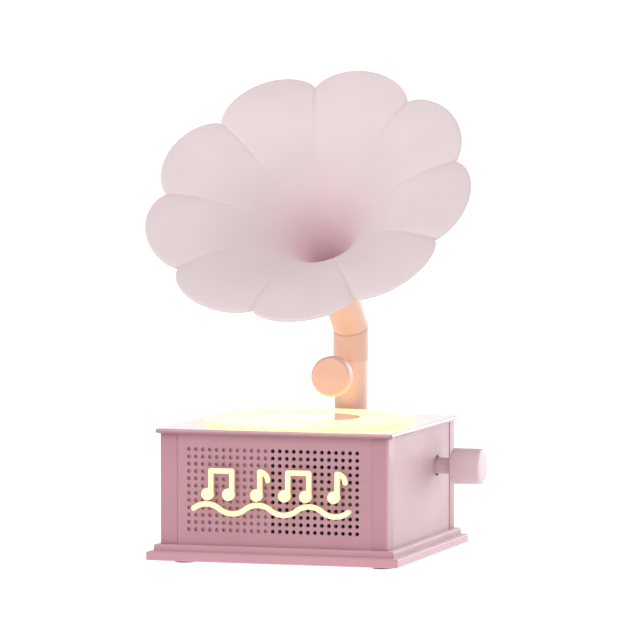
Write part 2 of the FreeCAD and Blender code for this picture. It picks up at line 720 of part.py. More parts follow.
def tilted(piece, angle):
    """Leans a piece forward about the mitre of the elbow."""
    piece.Placement.Rotation = FreeCAD.Rotation(X_AXIS, 1)
    piece.setExpression("Placement.Rotation.Angle", linked(angle))
    return piece


def elbow_tube(name, start, length, lean):
    """A straight tube of the elbow, from a distance before or after the mitre, leaning by an angle."""
    y = f"{PIPE_Y} - ({start}) * sin({lean})"
    z = f"{ELBOW_Z} + ({start}) * cos({lean})"
    outer = tilted(rod(f"{name}_outer", "tube_radius", length, "0", y, z), lean)
    inner = tilted(rod(f"{name}_inner", "tube_radius - horn_wall", length, "0", y, z), lean)
    return carve(f"{name}_tube", outer, inner)


def make_elbow():
    """An upright and a leaning tube, each run past the mitre and kept on its own side of it."""
    throat = "(horn_reach - horn_depth)"
    legs = []
    for name, start, length, lean, side in (
        ("elbow_lower", "-elbow_rise", "elbow_rise + tube_radius", "0", "horn_tilt / 2 + 180"),
        ("elbow_upper", "-tube_radius", f"{throat} + tube_radius", "horn_tilt", "horn_tilt / 2"),
    ):
        half = rod(f"{name}_half", "4 * tube_radius", "2 * horn_reach", "0", PIPE_Y, ELBOW_Z)
        leg = doc.addObject("Part::Common", f"{name}_leg")
        leg.Base = elbow_tube(name, start, length, lean)
        leg.Tool = tilted(half, side)
        legs.append(leg)
    node(join("elbow", *legs))


def horn_point(along, across, wall):
    """A point of one petal. along runs from 0 at the throat to 1 at the rim, across from -1 to 1 between its
    seams, and wall is the distance behind the inner face. Both the seam and the middle of the petal follow
    quarter ellipses, and the petal swells from the one to the other by a power of a cosine."""
    swell = math.cos(across * math.pi / 2) ** size("petal_fullness")
    throat = size("tube_radius") - size("horn_wall")
    rim = size("petal_notch_radius") + swell * (size("petal_tip_radius") - size("petal_notch_radius"))
    depth = size("horn_depth") + swell * size("petal_tip_lift")
    turn = along * math.pi / 2
    slope_out = (rim - throat) * math.sin(turn)
    slope_up = depth * math.cos(turn)
    steep = math.hypot(slope_out, slope_up)
    radius = rim - (rim - throat) * math.cos(turn) + wall * slope_up / steep
    height = size("horn_reach") - size("horn_depth") + depth * math.sin(turn) - wall * slope_out / steep
    angle = math.radians(180.0 / count("petal_count")) * math.sin(across * math.pi / 2)
    return FreeCAD.Vector(radius * math.cos(angle), radius * math.sin(angle), height)


def horn_shape():
    """Inner and outer faces of one petal with its rim and throat strips, repeated round the axis and sewn."""
    steps = 12
    skins = []
    for wall in (0.0, size("horn_wall")):
        grid = [[horn_point(row / steps, 2 * column / steps - 1, wall) for row in range(steps + 1)]
                for column in range(steps + 1)]
        skin = Part.BSplineSurface()
        skin.interpolate(grid)
        skins.append(skin)
    strips = []
    for end in (0, 1):
        edges = []
        for skin in skins:
            low, high = skin.bounds()[2:]
            edges.append(skin.vIso(high if end else low).toShape())
        strips.append(Part.makeRuledSurface(*edges))
    petal = [skin.toShape() for skin in skins] + strips
    faces = []
    for number in range(count("petal_count")):
        turn = size("petal_turn") + (number + 0.5) * 360.0 / count("petal_count")
        for face in petal:
            copy = face.copy()
            copy.rotate(FreeCAD.Vector(), Z_AXIS, turn)
            faces.append(copy)
    shell = Part.makeShell(faces)
    shell.sewShape()
    solid = Part.makeSolid(Part.Shell(shell.Faces))
    if solid.Volume < 0:
        solid.reverse()
    return solid


def make_horn():
    horn = formed("horn", horn_shape(), "0", PIPE_Y, ELBOW_Z)
    node(tilted(horn, "horn_tilt"))


def make_knob():
    bore = "(winding_arbor_radius + screw_clearance)"
    depth = f"({KNOB_START} + knob_length / 2)"
    bevel = "knob_bevel"
    profile = [(bore, "0"), ("stem_radius", "0"), ("stem_radius", f"{KNOB_START} - {STEM_START}"),
               (f"knob_radius - {bevel} / 2", f"{KNOB_START} - {STEM_START}"),
               ("knob_radius", f"{KNOB_START} - {STEM_START} + {bevel} / 2"),
               ("knob_radius", f"{KNOB_END} - {STEM_START} - {bevel}"),
               (f"knob_radius - {bevel}", f"{KNOB_END} - {STEM_START}"), ("0", f"{KNOB_END} - {STEM_START}"),
               ("0", f"{depth} - {STEM_START}"), (bore, f"{depth} - {STEM_START}")]
    node(turned("winding_knob", profile, STEM_START, BARREL_Y, BARREL_Z, "X"))
    node(rod("winding_arbor", "winding_arbor_radius", f"{depth} - {LEFT_PLATE_OUT}", LEFT_PLATE_OUT,
             BARREL_Y, BARREL_Z, "X"))

    inside = "(stem_radius + running_clearance)"
    outside = f"({inside} + bush_wall)"
    flange = "-bush_flange_thickness"
    end = "panel_thickness - bush_inset"
    profile = [(inside, flange), (f"{outside} + bush_flange", flange), (f"{outside} + bush_flange", "0"),
               (outside, "0"), (outside, end), (inside, end)]
    node(turned("stem_bush", profile, PANEL_INNER, BARREL_Y, BARREL_Z, "X"))


def involute_face(teeth, module, addendum, bore):
    """A toothed wheel's face about the origin, with one tooth on the local X axis."""
    pressure = math.radians(size("pressure_angle"))
    pitch_radius = module * teeth / 2
    base_radius = pitch_radius * math.cos(pressure)
    tip_radius = pitch_radius + addendum * module
    root_radius = pitch_radius - size("tooth_root") * module
    start_radius = max(base_radius, root_radius)
    half_tooth = math.pi / (2 * teeth) - size("tooth_play") * module / (2 * pitch_radius)
    steps = 4

    def half_angle(radius):
        lean = math.acos(min(1.0, base_radius / radius))
        return half_tooth + math.tan(pressure) - pressure - math.tan(lean) + lean

    def polar(radius, angle):
        return FreeCAD.Vector(radius * math.cos(angle), radius * math.sin(angle), 0)

    radii = [start_radius + (tip_radius - start_radius) * step / steps for step in range(steps + 1)]
    edges = []
    for tooth in range(teeth):
        middle = 2 * math.pi * tooth / teeth
        following = 2 * math.pi * (tooth + 1) / teeth
        rising = [polar(radius, middle - half_angle(radius)) for radius in radii]
        falling = [polar(radius, middle + half_angle(radius)) for radius in reversed(radii)]
        next_foot = polar(start_radius, following - half_angle(start_radius))
        root_left = polar(root_radius, middle + half_angle(start_radius))
        root_right = polar(root_radius, following - half_angle(start_radius))
        for flank in (rising, falling):
            curve = Part.BSplineCurve()
            curve.interpolate(flank)
            edges.append(curve.toShape())
        edges.append(Part.Arc(rising[-1], polar(tip_radius, middle), falling[0]).toShape())
        edges.append(Part.Arc(root_left, polar(root_radius, (middle + following) / 2), root_right).toShape())
        if root_radius < base_radius:
            edges.append(Part.makeLine(falling[-1], root_left))
            edges.append(Part.makeLine(root_right, next_foot))
    wires = [Part.Wire(Part.__sortEdges__(edges))]
    if bore > 0:
        wires.append(Part.Wire(Part.makeCircle(bore)))
    return Part.Face(wires, "Part::FaceMakerBullseye")


def gear(name, teeth, module, addendum, width, bore, x, y, z, phase=0.0):
    """A spur wheel or pinion on an arbor along X, turned to its phase."""
    face = involute_face(count(teeth), size(module), size(addendum), bore)
    shape = face.extrude(FreeCAD.Vector(0, 0, width))
    return formed(name, shape, x, y, z, TURNS["X"] * FreeCAD.Rotation(Z_AXIS, phase))


def leaf_phase(wheel_teeth, angle):
    """Turn of a pinion whose gap meets its wheel's tooth on the line of centres."""
    share = (size(angle) * count(wheel_teeth) / 360.0) % 1.0
    return size(angle) + 180.0 - (0.5 - share) * 360.0 / count("leaf_count")


def make_barrel():
    winding_bore = size("winding_arbor_radius") + size("running_clearance")
    wheel = gear("great_wheel", "great_teeth", "drive_module", "wheel_addendum", size("great_width"),
                 winding_bore, GREAT_START, BARREL_Y, BARREL_Z)
    outer = rod("drum_outer", "drum_radius", "drum_length", DRUM_START, BARREL_Y, BARREL_Z, "X")
    inner = rod("drum_inner", "drum_radius - drum_wall", "drum_length", DRUM_START, BARREL_Y, BARREL_Z, "X")
    node(join("spring_barrel", wheel, carve("drum", outer, inner)))

    cap_start = f"({DRUM_END} - cap_thickness)"
    disc = rod("cap_disc", "drum_radius - drum_wall - screw_clearance", "cap_thickness", cap_start,
               BARREL_Y, BARREL_Z, "X")
    hole = rod("cap_hole", "winding_arbor_radius + running_clearance", "cap_thickness", cap_start,
               BARREL_Y, BARREL_Z, "X")
    node(carve("barrel_cap", disc, hole))

    start = f"({DRUM_START} + spring_clearance)"
    length = "drum_length - cap_thickness - 2 * spring_clearance"
    coil_radius = "drum_radius - drum_wall - spring_clearance"
    coil = rod("spring_outer", coil_radius, length, start, BARREL_Y, BARREL_Z, "X")
    core = rod("spring_core", "spring_inner", length, start, BARREL_Y, BARREL_Z, "X")
    node(carve("mainspring", coil, core))


def make_ratchet():
    """Saw-toothed wheel on the winding arbor, and the click beside it on a stud of the right plate."""
    teeth = count("ratchet_teeth")
    tip = size("ratchet_radius")
    root = tip - size("ratchet_depth")
    corners = []
    for number in range(teeth):
        angle = 2 * math.pi * number / teeth
        following = 2 * math.pi * (number + 1) / teeth
        corners.append(FreeCAD.Vector(tip * math.cos(angle), tip * math.sin(angle), 0))
        corners.append(FreeCAD.Vector(root * math.cos(following), root * math.sin(following), 0))
    middle = Part.Wire(Part.makeCircle(size("winding_arbor_radius") + size("screw_clearance")))
    face = Part.Face([Part.makePolygon(corners + corners[:1]), middle], "Part::FaceMakerBullseye")
    shape = face.extrude(FreeCAD.Vector(0, 0, size("ratchet_width")))
    node(formed("ratchet_wheel", shape, RATCHET_START, BARREL_Y, BARREL_Z, TURNS["X"]))

    bar = slab("click_bar", "click_thickness", "click_width", "click_length", RATCHET_START,
               f"{CLICK_Y} + click_width / 2", f"{CLICK_Z} - click_length")
    eye = rod("click_eye", "click_width", "click_thickness", RATCHET_START, CLICK_Y, CLICK_Z, "X")
    bore = "stud_radius + running_clearance"
    hole = rod("click_hole", bore, "click_thickness", RATCHET_START, CLICK_Y, CLICK_Z, "X")
    node(carve("click", join("click_blank", bar, eye), hole))


def bearing(name, radius, x, y, z):
    return rod(name, f"{radius} + running_clearance", "plate_thickness", x, y, z, "X")


def make_plates():
    bed_length = f"({RIGHT_PLATE_OUT} - {GOVERNOR_OUT})"
    bed = slab("bed_stock", bed_length, "bed_front + bed_back", "bed_thickness", GOVERNOR_OUT,
               "(bed_back - bed_front) / 2", DECK)
    pilots = [rod(f"bed_pilot_{number}", "screw_radius + screw_clearance", "bed_thickness", x, y, DECK)
              for number, kind, x, y in base_screw_places() if kind == "bed"]
    node(carve("bedplate", bed, *pilots))

    back = "(bed_back - plate_edge)"
    height = f"({PLATE_TOP} - {BED_TOP})"
    fly_front = f"({FLY_Y} - plate_top_margin)"
    cylinder_front = f"({CYLINDER_Y} - plate_top_margin - pillar_inset)"
    for name, start, front in (("left_plate", LEFT_PLATE_OUT, fly_front),
                               ("right_plate", RIGHT_PLATE_IN, cylinder_front),
                               ("governor_plate", GOVERNOR_OUT, fly_front)):
        rear = f"({SECOND_Y} + plate_top_margin)" if name == "governor_plate" else back
        stock = slab(f"{name}_stock", "plate_thickness", f"{rear} - {front}", height, start,
                     f"({rear} + {front}) / 2", BED_TOP)
        holes = []
        if name != "governor_plate":
            holes.append(bearing(f"{name}_winding", "winding_arbor_radius", start, BARREL_Y, BARREL_Z))
            holes.append(bearing(f"{name}_cylinder", "arbor_radius", start, CYLINDER_Y, CYLINDER_Z))
        if name != "right_plate":
            holes.append(bearing(f"{name}_second", "fine_arbor_radius", start, SECOND_Y, SECOND_Z))
            holes.append(bearing(f"{name}_fly", "fine_arbor_radius", start, FLY_Y, FLY_Z))
        plate = carve(f"{name}_drilled", stock, *holes)
        if name == "right_plate":
            stud = rod("click_stud", "stud_radius", "ratchet_gap + click_thickness", RIGHT_PLATE_OUT, CLICK_Y,
                       CLICK_Z, "X")
            plate = join("right_plate", plate, stud)
            node(plate)
        else:
            plate.Label = name
            node(plate)

    low = f"({BED_TOP} + pillar_inset)"
    places = [(f"({back} - pillar_inset)", low), (f"({CYLINDER_Y} - plate_top_margin)", low),
              (f"({CYLINDER_Y} - plate_top_margin)", f"({PLATE_TOP} - pillar_inset)")]
    pillars = [rod(f"pillar_{number}", "pillar_radius", "plate_spacing", LEFT_PLATE_IN, y, z, "X")
               for number, (y, z) in enumerate(places)]
    node(group("plate_pillars", pillars))


def pinned_cylinder():
    """The drum with its pins: as many round each tooth's track, the tracks turned by the golden angle."""
    radius = size("cylinder_radius")
    length = size("cylinder_length")
    width = count("comb_teeth") * size("comb_tooth_pitch")
    golden = 180.0 * (3.0 - math.sqrt(5.0))
    drum = Part.makeCylinder(radius, length)
    bore = Part.makeCylinder(size("arbor_radius") + size("screw_clearance"), length)
    pins = []
    for track in range(count("comb_teeth")):
        height = (length - width) / 2 + (track + 0.5) * size("comb_tooth_pitch")
        for number in range(count("pins_per_tooth")):
            angle = math.radians(track * golden + 360.0 * number / count("pins_per_tooth"))
            direction = FreeCAD.Vector(math.cos(angle), math.sin(angle), 0)
            foot = direction * (radius - size("pin_height")) + FreeCAD.Vector(0, 0, height)
            pins.append(Part.makeCylinder(size("pin_radius"), 2 * size("pin_height"), foot, direction))
    return drum.cut(bore).fuse(pins)


def make_train():
    node(formed("pinned_cylinder", pinned_cylinder(), CYLINDER_START, CYLINDER_Y, CYLINDER_Z, TURNS["X"]))
    arbor_start = f"({CYLINDER_WHEEL_START} - wheel_gap / 2)"
    node(rod("cylinder_arbor", "arbor_radius", f"{RIGHT_PLATE_OUT} - {arbor_start}", arbor_start,
             CYLINDER_Y, CYLINDER_Z, "X"))
    arbor_bore = size("arbor_radius") + size("screw_clearance")
    node(gear("cylinder_pinion", "leaf_count", "drive_module", "leaf_addendum", size("great_width"),
              arbor_bore, GREAT_START, CYLINDER_Y, CYLINDER_Z, leaf_phase("great_teeth", "drive_angle")))
    node(gear("cylinder_wheel", "wheel_teeth", "second_module", "wheel_addendum", size("wheel_width"),
              arbor_bore, CYLINDER_WHEEL_START, CYLINDER_Y, CYLINDER_Z))

    span = f"{LEFT_PLATE_IN} - {GOVERNOR_OUT}"
    leaves = gear("second_leaves", "leaf_count", "second_module", "leaf_addendum", size("wheel_width"), 0.0,
                  CYLINDER_WHEEL_START, SECOND_Y, SECOND_Z, leaf_phase("wheel_teeth", "second_angle"))
    stem = rod("second_stem", "fine_arbor_radius", span, GOVERNOR_OUT, SECOND_Y, SECOND_Z, "X")
    node(join("second_arbor", leaves, stem))
    fine_bore = size("fine_arbor_radius") + size("screw_clearance")
    node(gear("second_wheel", "wheel_teeth", "fly_module", "wheel_addendum", size("wheel_width"), fine_bore,
              SECOND_WHEEL_START, SECOND_Y, SECOND_Z))

    leaves = gear("fly_leaves", "leaf_count", "fly_module", "leaf_addendum", size("wheel_width"), 0.0,
                  SECOND_WHEEL_START, FLY_Y, FLY_Z, leaf_phase("wheel_teeth", "fly_angle"))
    stem = rod("fly_stem", "fine_arbor_radius", span, GOVERNOR_OUT, FLY_Y, FLY_Z, "X")
    node(join("fly_arbor", leaves, stem))
    blade = slab("fly_blades", "fly_length", "2 * fly_radius", "fly_blade", FLY_START, FLY_Y,
                 f"{FLY_Z} - fly_blade / 2")
    hub = rod("fly_hub_rod", "fly_hub", "fly_length", FLY_START, FLY_Y, FLY_Z, "X")
    hole = rod("fly_bore", "fine_arbor_radius + screw_clearance", "fly_length", FLY_START, FLY_Y, FLY_Z, "X")
    node(carve("fly", join("fly_blank", blade, hub), hole))


def comb_shape():
    """Comb outline with a slit between neighbouring teeth, tips along the local X axis."""
    teeth = count("comb_teeth")
    pitch = size("comb_tooth_pitch")
    slit = size("comb_slit")
    length = size("comb_tooth_length")
    corners = [FreeCAD.Vector(0, -length - size("comb_root_length"), 0)]
    for tooth in range(teeth):
        left = tooth * pitch + slit / 2
        right = (tooth + 1) * pitch - slit / 2
        corners += [FreeCAD.Vector(left, -length, 0), FreeCAD.Vector(left, 0, 0),
                    FreeCAD.Vector(right, 0, 0), FreeCAD.Vector(right, -length, 0)]
    corners[1].x = 0
    corners[2].x = 0
    corners[-1].x = teeth * pitch
    corners[-2].x = teeth * pitch
    corners.append(FreeCAD.Vector(teeth * pitch, -length - size("comb_root_length"), 0))
    face = Part.Face(Part.makePolygon(corners + corners[:1]))
    return face.extrude(FreeCAD.Vector(0, 0, size("comb_thickness")))


def make_comb():
    stock = formed("comb_stock", comb_shape(), COMB_START, COMB_TIP, COMB_UNDER)
    top = f"({COMB_UNDER} + comb_thickness)"
    block_height = f"({COMB_UNDER} - {BED_TOP})"
    block_stock = block("comb_block_stock", COMB_WIDTH, "comb_root_length", block_height, COMB_MIDDLE,
                        COMB_ROOT_MIDDLE, BED_TOP)
    places = [f"({COMB_MIDDLE} + {side} * {COMB_WIDTH} / 4)" for side in (-1, 1)]
    head = f"{top} + screw_head_height"
    reach = "comb_thickness + screw_bite"
    for name, blank in (("comb", stock), ("comb_block", block_stock)):
        holes = [screw_hole(f"{name}_hole_{number}", reach, x, COMB_ROOT_MIDDLE, head, "-Z")
                 for number, x in enumerate(places)]
        node(carve(name, blank, *holes))
    screws = [screw(f"comb_screw_{number}", reach, x, COMB_ROOT_MIDDLE, head, "-Z")
              for number, x in enumerate(places)]
    node(group("comb_screws", screws))


def make_battery():
    """Two cells side by side along X in a holder behind the front panel, with a contact at each end."""
    outer_length = f"({HOLDER_INNER_LENGTH} + 2 * holder_wall)"
    outer_width = f"({HOLDER_INNER_WIDTH} + 2 * holder_wall)"
    outer_height = f"({HOLDER_INNER_HEIGHT} + holder_wall)"
    outer = block("holder_outer", outer_length, outer_width, outer_height, "0", HOLDER_Y, DECK)
    inner = block("holder_inner", HOLDER_INNER_LENGTH, HOLDER_INNER_WIDTH, HOLDER_INNER_HEIGHT,
                  "0", HOLDER_Y, DECK)
    node(carve("battery_holder", outer, inner))
    cells = []
    contacts = []
    for side in (-1, 1):
        y = f"({HOLDER_Y} + {side} * (cell_radius + cell_gap / 2))"
        cells.append(rod(f"cell_{side + 1}", "cell_radius", "cell_length", "-cell_length / 2", y, CELL_Z, "X"))
        for end in (-1, 1):
            tag = f"{side + 1}_{end + 1}"
            plate = block(f"contact_plate_{tag}", "contact_plate", "contact_side", "contact_side",
                          f"{end} * ({HOLDER_INNER_LENGTH} / 2 - contact_plate / 2)", y,
                          f"{CELL_Z} - contact_side / 2")
            bump_length = "(contact_depth - contact_plate)"
            bump_start = f"({end} * (cell_length + {bump_length}) / 2 - {bump_length} / 2)"
            bump = rod(f"contact_bump_{tag}", "contact_side / 4", bump_length, bump_start, y, CELL_Z, "X")
            contacts.append(join(f"contact_{tag}", plate, bump))
    node(group("battery_cells", cells))
    node(group("battery_contacts", contacts))


def make_switch():
    height = f"({DECK} + switch_rise)"
    body = block("switch_stock", "switch_length", "switch_depth", "switch_height", SWITCH_X,
                 f"{PANEL_INNER} - switch_depth / 2", f"{height} - switch_height / 2")
    slot_length = "slider_length + slider_travel + 2 * slider_clearance"
    slot_height = "(slider_height + 2 * slider_clearance)"
    slot = block("switch_pocket", slot_length, "slider_seat", slot_height, SWITCH_X,
                 f"{PANEL_INNER} - slider_seat / 2", f"{height} - {slot_height} / 2")
    node(carve("switch_body", body, slot))
    depth = "(slider_seat + panel_thickness + slider_proud - slider_clearance)"
    node(block("switch_slider", "slider_length", depth, "slider_height", f"{SWITCH_X} - slider_travel / 2",
               f"{PANEL_OUTER} + slider_proud - {depth} / 2", f"{height} - slider_height / 2"))


def write_parts():
    doc.recompute()
    failed = [piece.Label for piece in doc.Objects if {"Invalid", "Error"} & set(piece.State)]
    wrong = [piece.Label for piece in nodes if piece.Shape.isNull() or not piece.Shape.isValid()]
    if failed or wrong:
        raise RuntimeError(f"failed objects: {failed}; unsound shapes: {wrong}")
    os.makedirs("parts", exist_ok=True)
    stand = FreeCAD.Vector(size("stand_x"), size("stand_y"), 0)
    for piece in nodes:
        piece.Shape.translated(stand).exportStep(f"parts/{piece.Label}.step")


fill_sheet()
gauge = doc.addObject("Part::Feature", "gauge")
make_plinth()
make_posts()
make_grille()
make_panels()
make_lid()
make_light()
make_motif()
make_pipe()
make_elbow()
make_horn()
make_knob()
make_barrel()
make_ratchet()
make_plates()
make_train()
make_comb()
make_battery()
make_switch()
write_parts()
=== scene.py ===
import json
import math
import bmesh
import bpy
import numpy as np
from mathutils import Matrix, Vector


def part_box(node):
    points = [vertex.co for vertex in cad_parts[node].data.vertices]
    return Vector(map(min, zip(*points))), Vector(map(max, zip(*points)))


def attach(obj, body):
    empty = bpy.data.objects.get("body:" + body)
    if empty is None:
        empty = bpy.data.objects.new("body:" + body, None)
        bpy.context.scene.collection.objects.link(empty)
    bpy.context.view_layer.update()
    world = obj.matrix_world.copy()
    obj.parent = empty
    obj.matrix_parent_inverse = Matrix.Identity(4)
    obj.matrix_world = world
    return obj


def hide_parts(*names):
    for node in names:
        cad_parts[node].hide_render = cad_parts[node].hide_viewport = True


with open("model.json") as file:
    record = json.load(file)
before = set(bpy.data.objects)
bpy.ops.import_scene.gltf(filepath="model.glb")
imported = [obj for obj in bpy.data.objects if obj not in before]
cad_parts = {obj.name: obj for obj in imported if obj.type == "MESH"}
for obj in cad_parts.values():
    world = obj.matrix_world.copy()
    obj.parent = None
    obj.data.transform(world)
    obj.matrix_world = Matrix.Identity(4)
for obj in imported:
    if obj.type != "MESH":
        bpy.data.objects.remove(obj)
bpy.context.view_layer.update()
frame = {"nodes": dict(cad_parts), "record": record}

# music box shaped like a horn gramophone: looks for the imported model, sizes below in millimetres
mm = 0.001
nodeSlot = {row["node"]: row["material_slot"] for row in frame["record"]["subparts"]}
bodyOf = {node: body for body, nodes in frame["record"]["behaviour"]["bodies"].items() for node in nodes}
print("frame loaded:", len(nodeSlot), "nodes")


# low and high corners of a CAD node in millimetres
def nodeBox(name):
    low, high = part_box(name)
    return np.array(low) / mm, np.array(high) / mm


lidLow, lidHigh = nodeBox("lid")
pipeLow, pipeHigh = nodeBox("pipe")
caseX, caseY = (lidLow[:2] + lidHigh[:2]) / 2
pipeX, pipeY = (pipeLow[:2] + pipeHigh[:2]) / 2


# a new node of a material with its inputs set
def addNode(tree, kind, inputs=None, **settings):
    node = tree.nodes.new(kind)
    for name, value in settings.items():
        setattr(node, name, value)
    for key, value in (inputs or {}).items():
        node.inputs[key].default_value = value
    return node


# a material with one principled shader, and its tree, shader and object coordinates
def newFinish(name):
    material = bpy.data.materials.new(name)
    material.use_nodes = True
    tree = material.node_tree
    shader = tree.nodes["Principled BSDF"]
    where = addNode(tree, "ShaderNodeTexCoord").outputs["Object"]
    return material, tree, shader, where


# noise from object coordinates; scale counts waves per metre
def noiseOf(tree, where, scale, detail=2.0, stretch=(1, 1, 1)):
    source = where
    if tuple(stretch) != (1, 1, 1):
        mapping = addNode(tree, "ShaderNodeMapping", {"Scale": stretch})
        tree.links.new(where, mapping.inputs["Vector"])
        source = mapping.outputs["Vector"]
    noise = addNode(tree, "ShaderNodeTexNoise", {"Scale": scale, "Detail": detail})
    tree.links.new(source, noise.inputs["Vector"])
    return noise.outputs["Fac"]


# a number moved from one range to another
def ranged(tree, source, low, high, fromLow=0.3, fromHigh=0.7):
    spread = addNode(tree, "ShaderNodeMapRange",
                     {"From Min": fromLow, "From Max": fromHigh, "To Min": low, "To Max": high})
    tree.links.new(source, spread.inputs["Value"])
    return spread.outputs["Result"]


# two colours mixed by a factor
def mixed(tree, factor, first, second):
    mix = addNode(tree, "ShaderNodeMix", data_type="RGBA")
    tree.links.new(factor, mix.inputs["Factor"])
    for socket, value in ((mix.inputs[6], first), (mix.inputs[7], second)):
        if isinstance(value, (tuple, list)):
            socket.default_value = (*value, 1.0)
        else:
            tree.links.new(value, socket)
    return mix.outputs[2]


# how far the rounded normal leans from the true one: 0 on flats, towards 1 along edges
def edgeMask(tree, look):
    soft = addNode(tree, "ShaderNodeBevel", {"Radius": look["edgeRadius"] * mm}, samples=look["edgeSamples"])
    plain = addNode(tree, "ShaderNodeNewGeometry")
    dot = addNode(tree, "ShaderNodeVectorMath", operation="DOT_PRODUCT")
    tree.links.new(soft.outputs["Normal"], dot.inputs[0])
    tree.links.new(plain.outputs["Normal"], dot.inputs[1])
    mask = ranged(tree, dot.outputs["Value"], look["edgeGain"], 0.0, look["edgeLean"], 1.0)
    return mask, soft.outputs["Normal"]


# mask that falls from its most to 0 with distance from a point, in millimetres
def nearPoint(tree, where, shade):
    gap = addNode(tree, "ShaderNodeVectorMath", operation="DISTANCE")
    tree.links.new(where, gap.inputs[0])
    gap.inputs[1].default_value = tuple(np.array(shade["point"]) * mm)
    return ranged(tree, gap.outputs["Value"], shade["most"], 0.0, shade["near"] * mm, shade["far"] * mm)


# mask that rises from 0 to 1 with depth behind a front face, in millimetres;
# left of a given x only a share of it
def behindPlane(tree, where, shade):
    split = addNode(tree, "ShaderNodeSeparateXYZ")
    tree.links.new(where, split.inputs["Vector"])
    both = addNode(tree, "ShaderNodeMath", operation="MULTIPLY")
    deep = ranged(tree, split.outputs["Y"], 0.0, 1.0, (shade["front"] + shade["start"]) * mm,
                  (shade["front"] + shade["full"]) * mm)
    right = ranged(tree, split.outputs["X"], shade["leftShare"], 1.0, shade["rightOf"] * mm,
                   (shade["rightOf"] + shade["step"]) * mm)
    tree.links.new(deep, both.inputs[0])
    tree.links.new(right, both.inputs[1])
    return both.outputs["Value"]


# mask along the line where a piece crosses a plane: falls from its most to 0 with distance from the plane
def nearPlane(tree, where, shade):
    along = addNode(tree, "ShaderNodeVectorMath", operation="DOT_PRODUCT")
    tree.links.new(where, along.inputs[0])
    along.inputs[1].default_value = tuple(shade["normal"])
    away = addNode(tree, "ShaderNodeMath", operation="SUBTRACT")
    tree.links.new(along.outputs["Value"], away.inputs[0])
    away.inputs[1].default_value = float(np.dot(shade["point"], shade["normal"])) * mm
    gap = addNode(tree, "ShaderNodeMath", operation="ABSOLUTE")
    tree.links.new(away.outputs["Value"], gap.inputs[0])
    return ranged(tree, gap.outputs["Value"], shade["most"], 0.0, shade["near"] * mm, shade["far"] * mm)


# mask read from a share that a piece stores with each of its points
def storedShare(tree, where, shade):
    stored = addNode(tree, "ShaderNodeAttribute", attribute_name=shade["name"])
    return ranged(tree, stored.outputs["Fac"], 0.0, shade["most"], 0.0, 1.0)


# moulded plastic: colour drift, grain in the skin, roughness that varies, edges made paler by a painted
# highlight
def mouldedPlastic(name, look):
    material, tree, shader, where = newFinish(name)
    drift = noiseOf(tree, where, look["driftScale"], look["driftDetail"])
    base = np.array(look["colour"])
    tint = mixed(tree, ranged(tree, drift, 0.0, 1.0), tuple(base * look["driftLow"]),
                 tuple(base * look["driftHigh"]))
    # painted highlight: edges paler along the rounded-normal mask
    edgeHighlight, softNormal = edgeMask(tree, look)
    tint = mixed(tree, edgeHighlight, tint, tuple(np.minimum(base * look["edgeHighlightGain"] + look["edgeHighlightLift"], 1.0)))
    for shade in look["shades"]:
        tint = mixed(tree, shade["mask"](tree, where, shade), tint, shade["colour"])
    tree.links.new(tint, shader.inputs["Base Color"])
    grain = noiseOf(tree, where, look["grainScale"], look["grainDetail"])
    tree.links.new(ranged(tree, grain, look["roughLow"], look["roughHigh"]), shader.inputs["Roughness"])
    bump = addNode(tree, "ShaderNodeBump", {"Strength": look["bump"], "Distance": look["bumpDepth"] * mm})
    tree.links.new(grain, bump.inputs["Height"])
    tree.links.new(softNormal, bump.inputs["Normal"])
    tree.links.new(bump.outputs["Normal"], shader.inputs["Normal"])
    shader.inputs["IOR"].default_value = look["ior"]
    shader.inputs["Sheen Weight"].default_value = look["sheen"]
    shader.inputs["Sheen Roughness"].default_value = look["sheenRough"]
    shader.inputs["Coat Weight"].default_value = look["coat"]
    shader.inputs["Coat Roughness"].default_value = look["coatRough"]
    return material


# plastic that glows: the lamps' plastic lit from within, and the backing with a painted glow; glow with
# cloudy drift over a glossy skin
def lampPlastic(name, look):
    material, tree, shader, where = newFinish(name)
    cloud = noiseOf(tree, where, look["cloudScale"], look["cloudDetail"])
    glow = mixed(tree, ranged(tree, cloud, 0.0, 1.0), look["glowLow"], look["glowHigh"])
    tree.links.new(glow, shader.inputs["Emission Color"])
    shader.inputs["Emission Strength"].default_value = look["strength"]
    skin = mixed(tree, ranged(tree, cloud, 0.0, 1.0), look["skinLow"], look["skinHigh"])
    tree.links.new(skin, shader.inputs["Base Color"])
    grain = noiseOf(tree, where, look["grainScale"], look["grainDetail"])
    tree.links.new(ranged(tree, grain, look["roughLow"], look["roughHigh"]), shader.inputs["Roughness"])
    bump = addNode(tree, "ShaderNodeBump", {"Strength": look["bump"], "Distance": look["bumpDepth"] * mm})
    tree.links.new(grain, bump.inputs["Height"])
    tree.links.new(bump.outputs["Normal"], shader.inputs["Normal"])
    shader.inputs["Specular IOR Level"].default_value = look["specular"]
    return material


# metal with fine brushing along one direction
def brushedMetal(name, look):
    material, tree, shader, where = newFinish(name)
    lines = noiseOf(tree, where, look["lineScale"], look["lineDetail"], look["stretch"])
    cloud = noiseOf(tree, where, look["cloudScale"], look["cloudDetail"])
    base = np.array(look["colour"])
    tint = mixed(tree, ranged(tree, cloud, 0.0, 1.0), tuple(base * look["cloudLow"]),
                 tuple(base * look["cloudHigh"]))
    tree.links.new(tint, shader.inputs["Base Color"])
    tree.links.new(ranged(tree, lines, look["roughLow"], look["roughHigh"]), shader.inputs["Roughness"])
    bump = addNode(tree, "ShaderNodeBump", {"Strength": look["bump"], "Distance": look["bumpDepth"] * mm})
    tree.links.new(lines, bump.inputs["Height"])
    tree.links.new(bump.outputs["Normal"], shader.inputs["Normal"])
    shader.inputs["Metallic"].default_value = 1.0
    return material


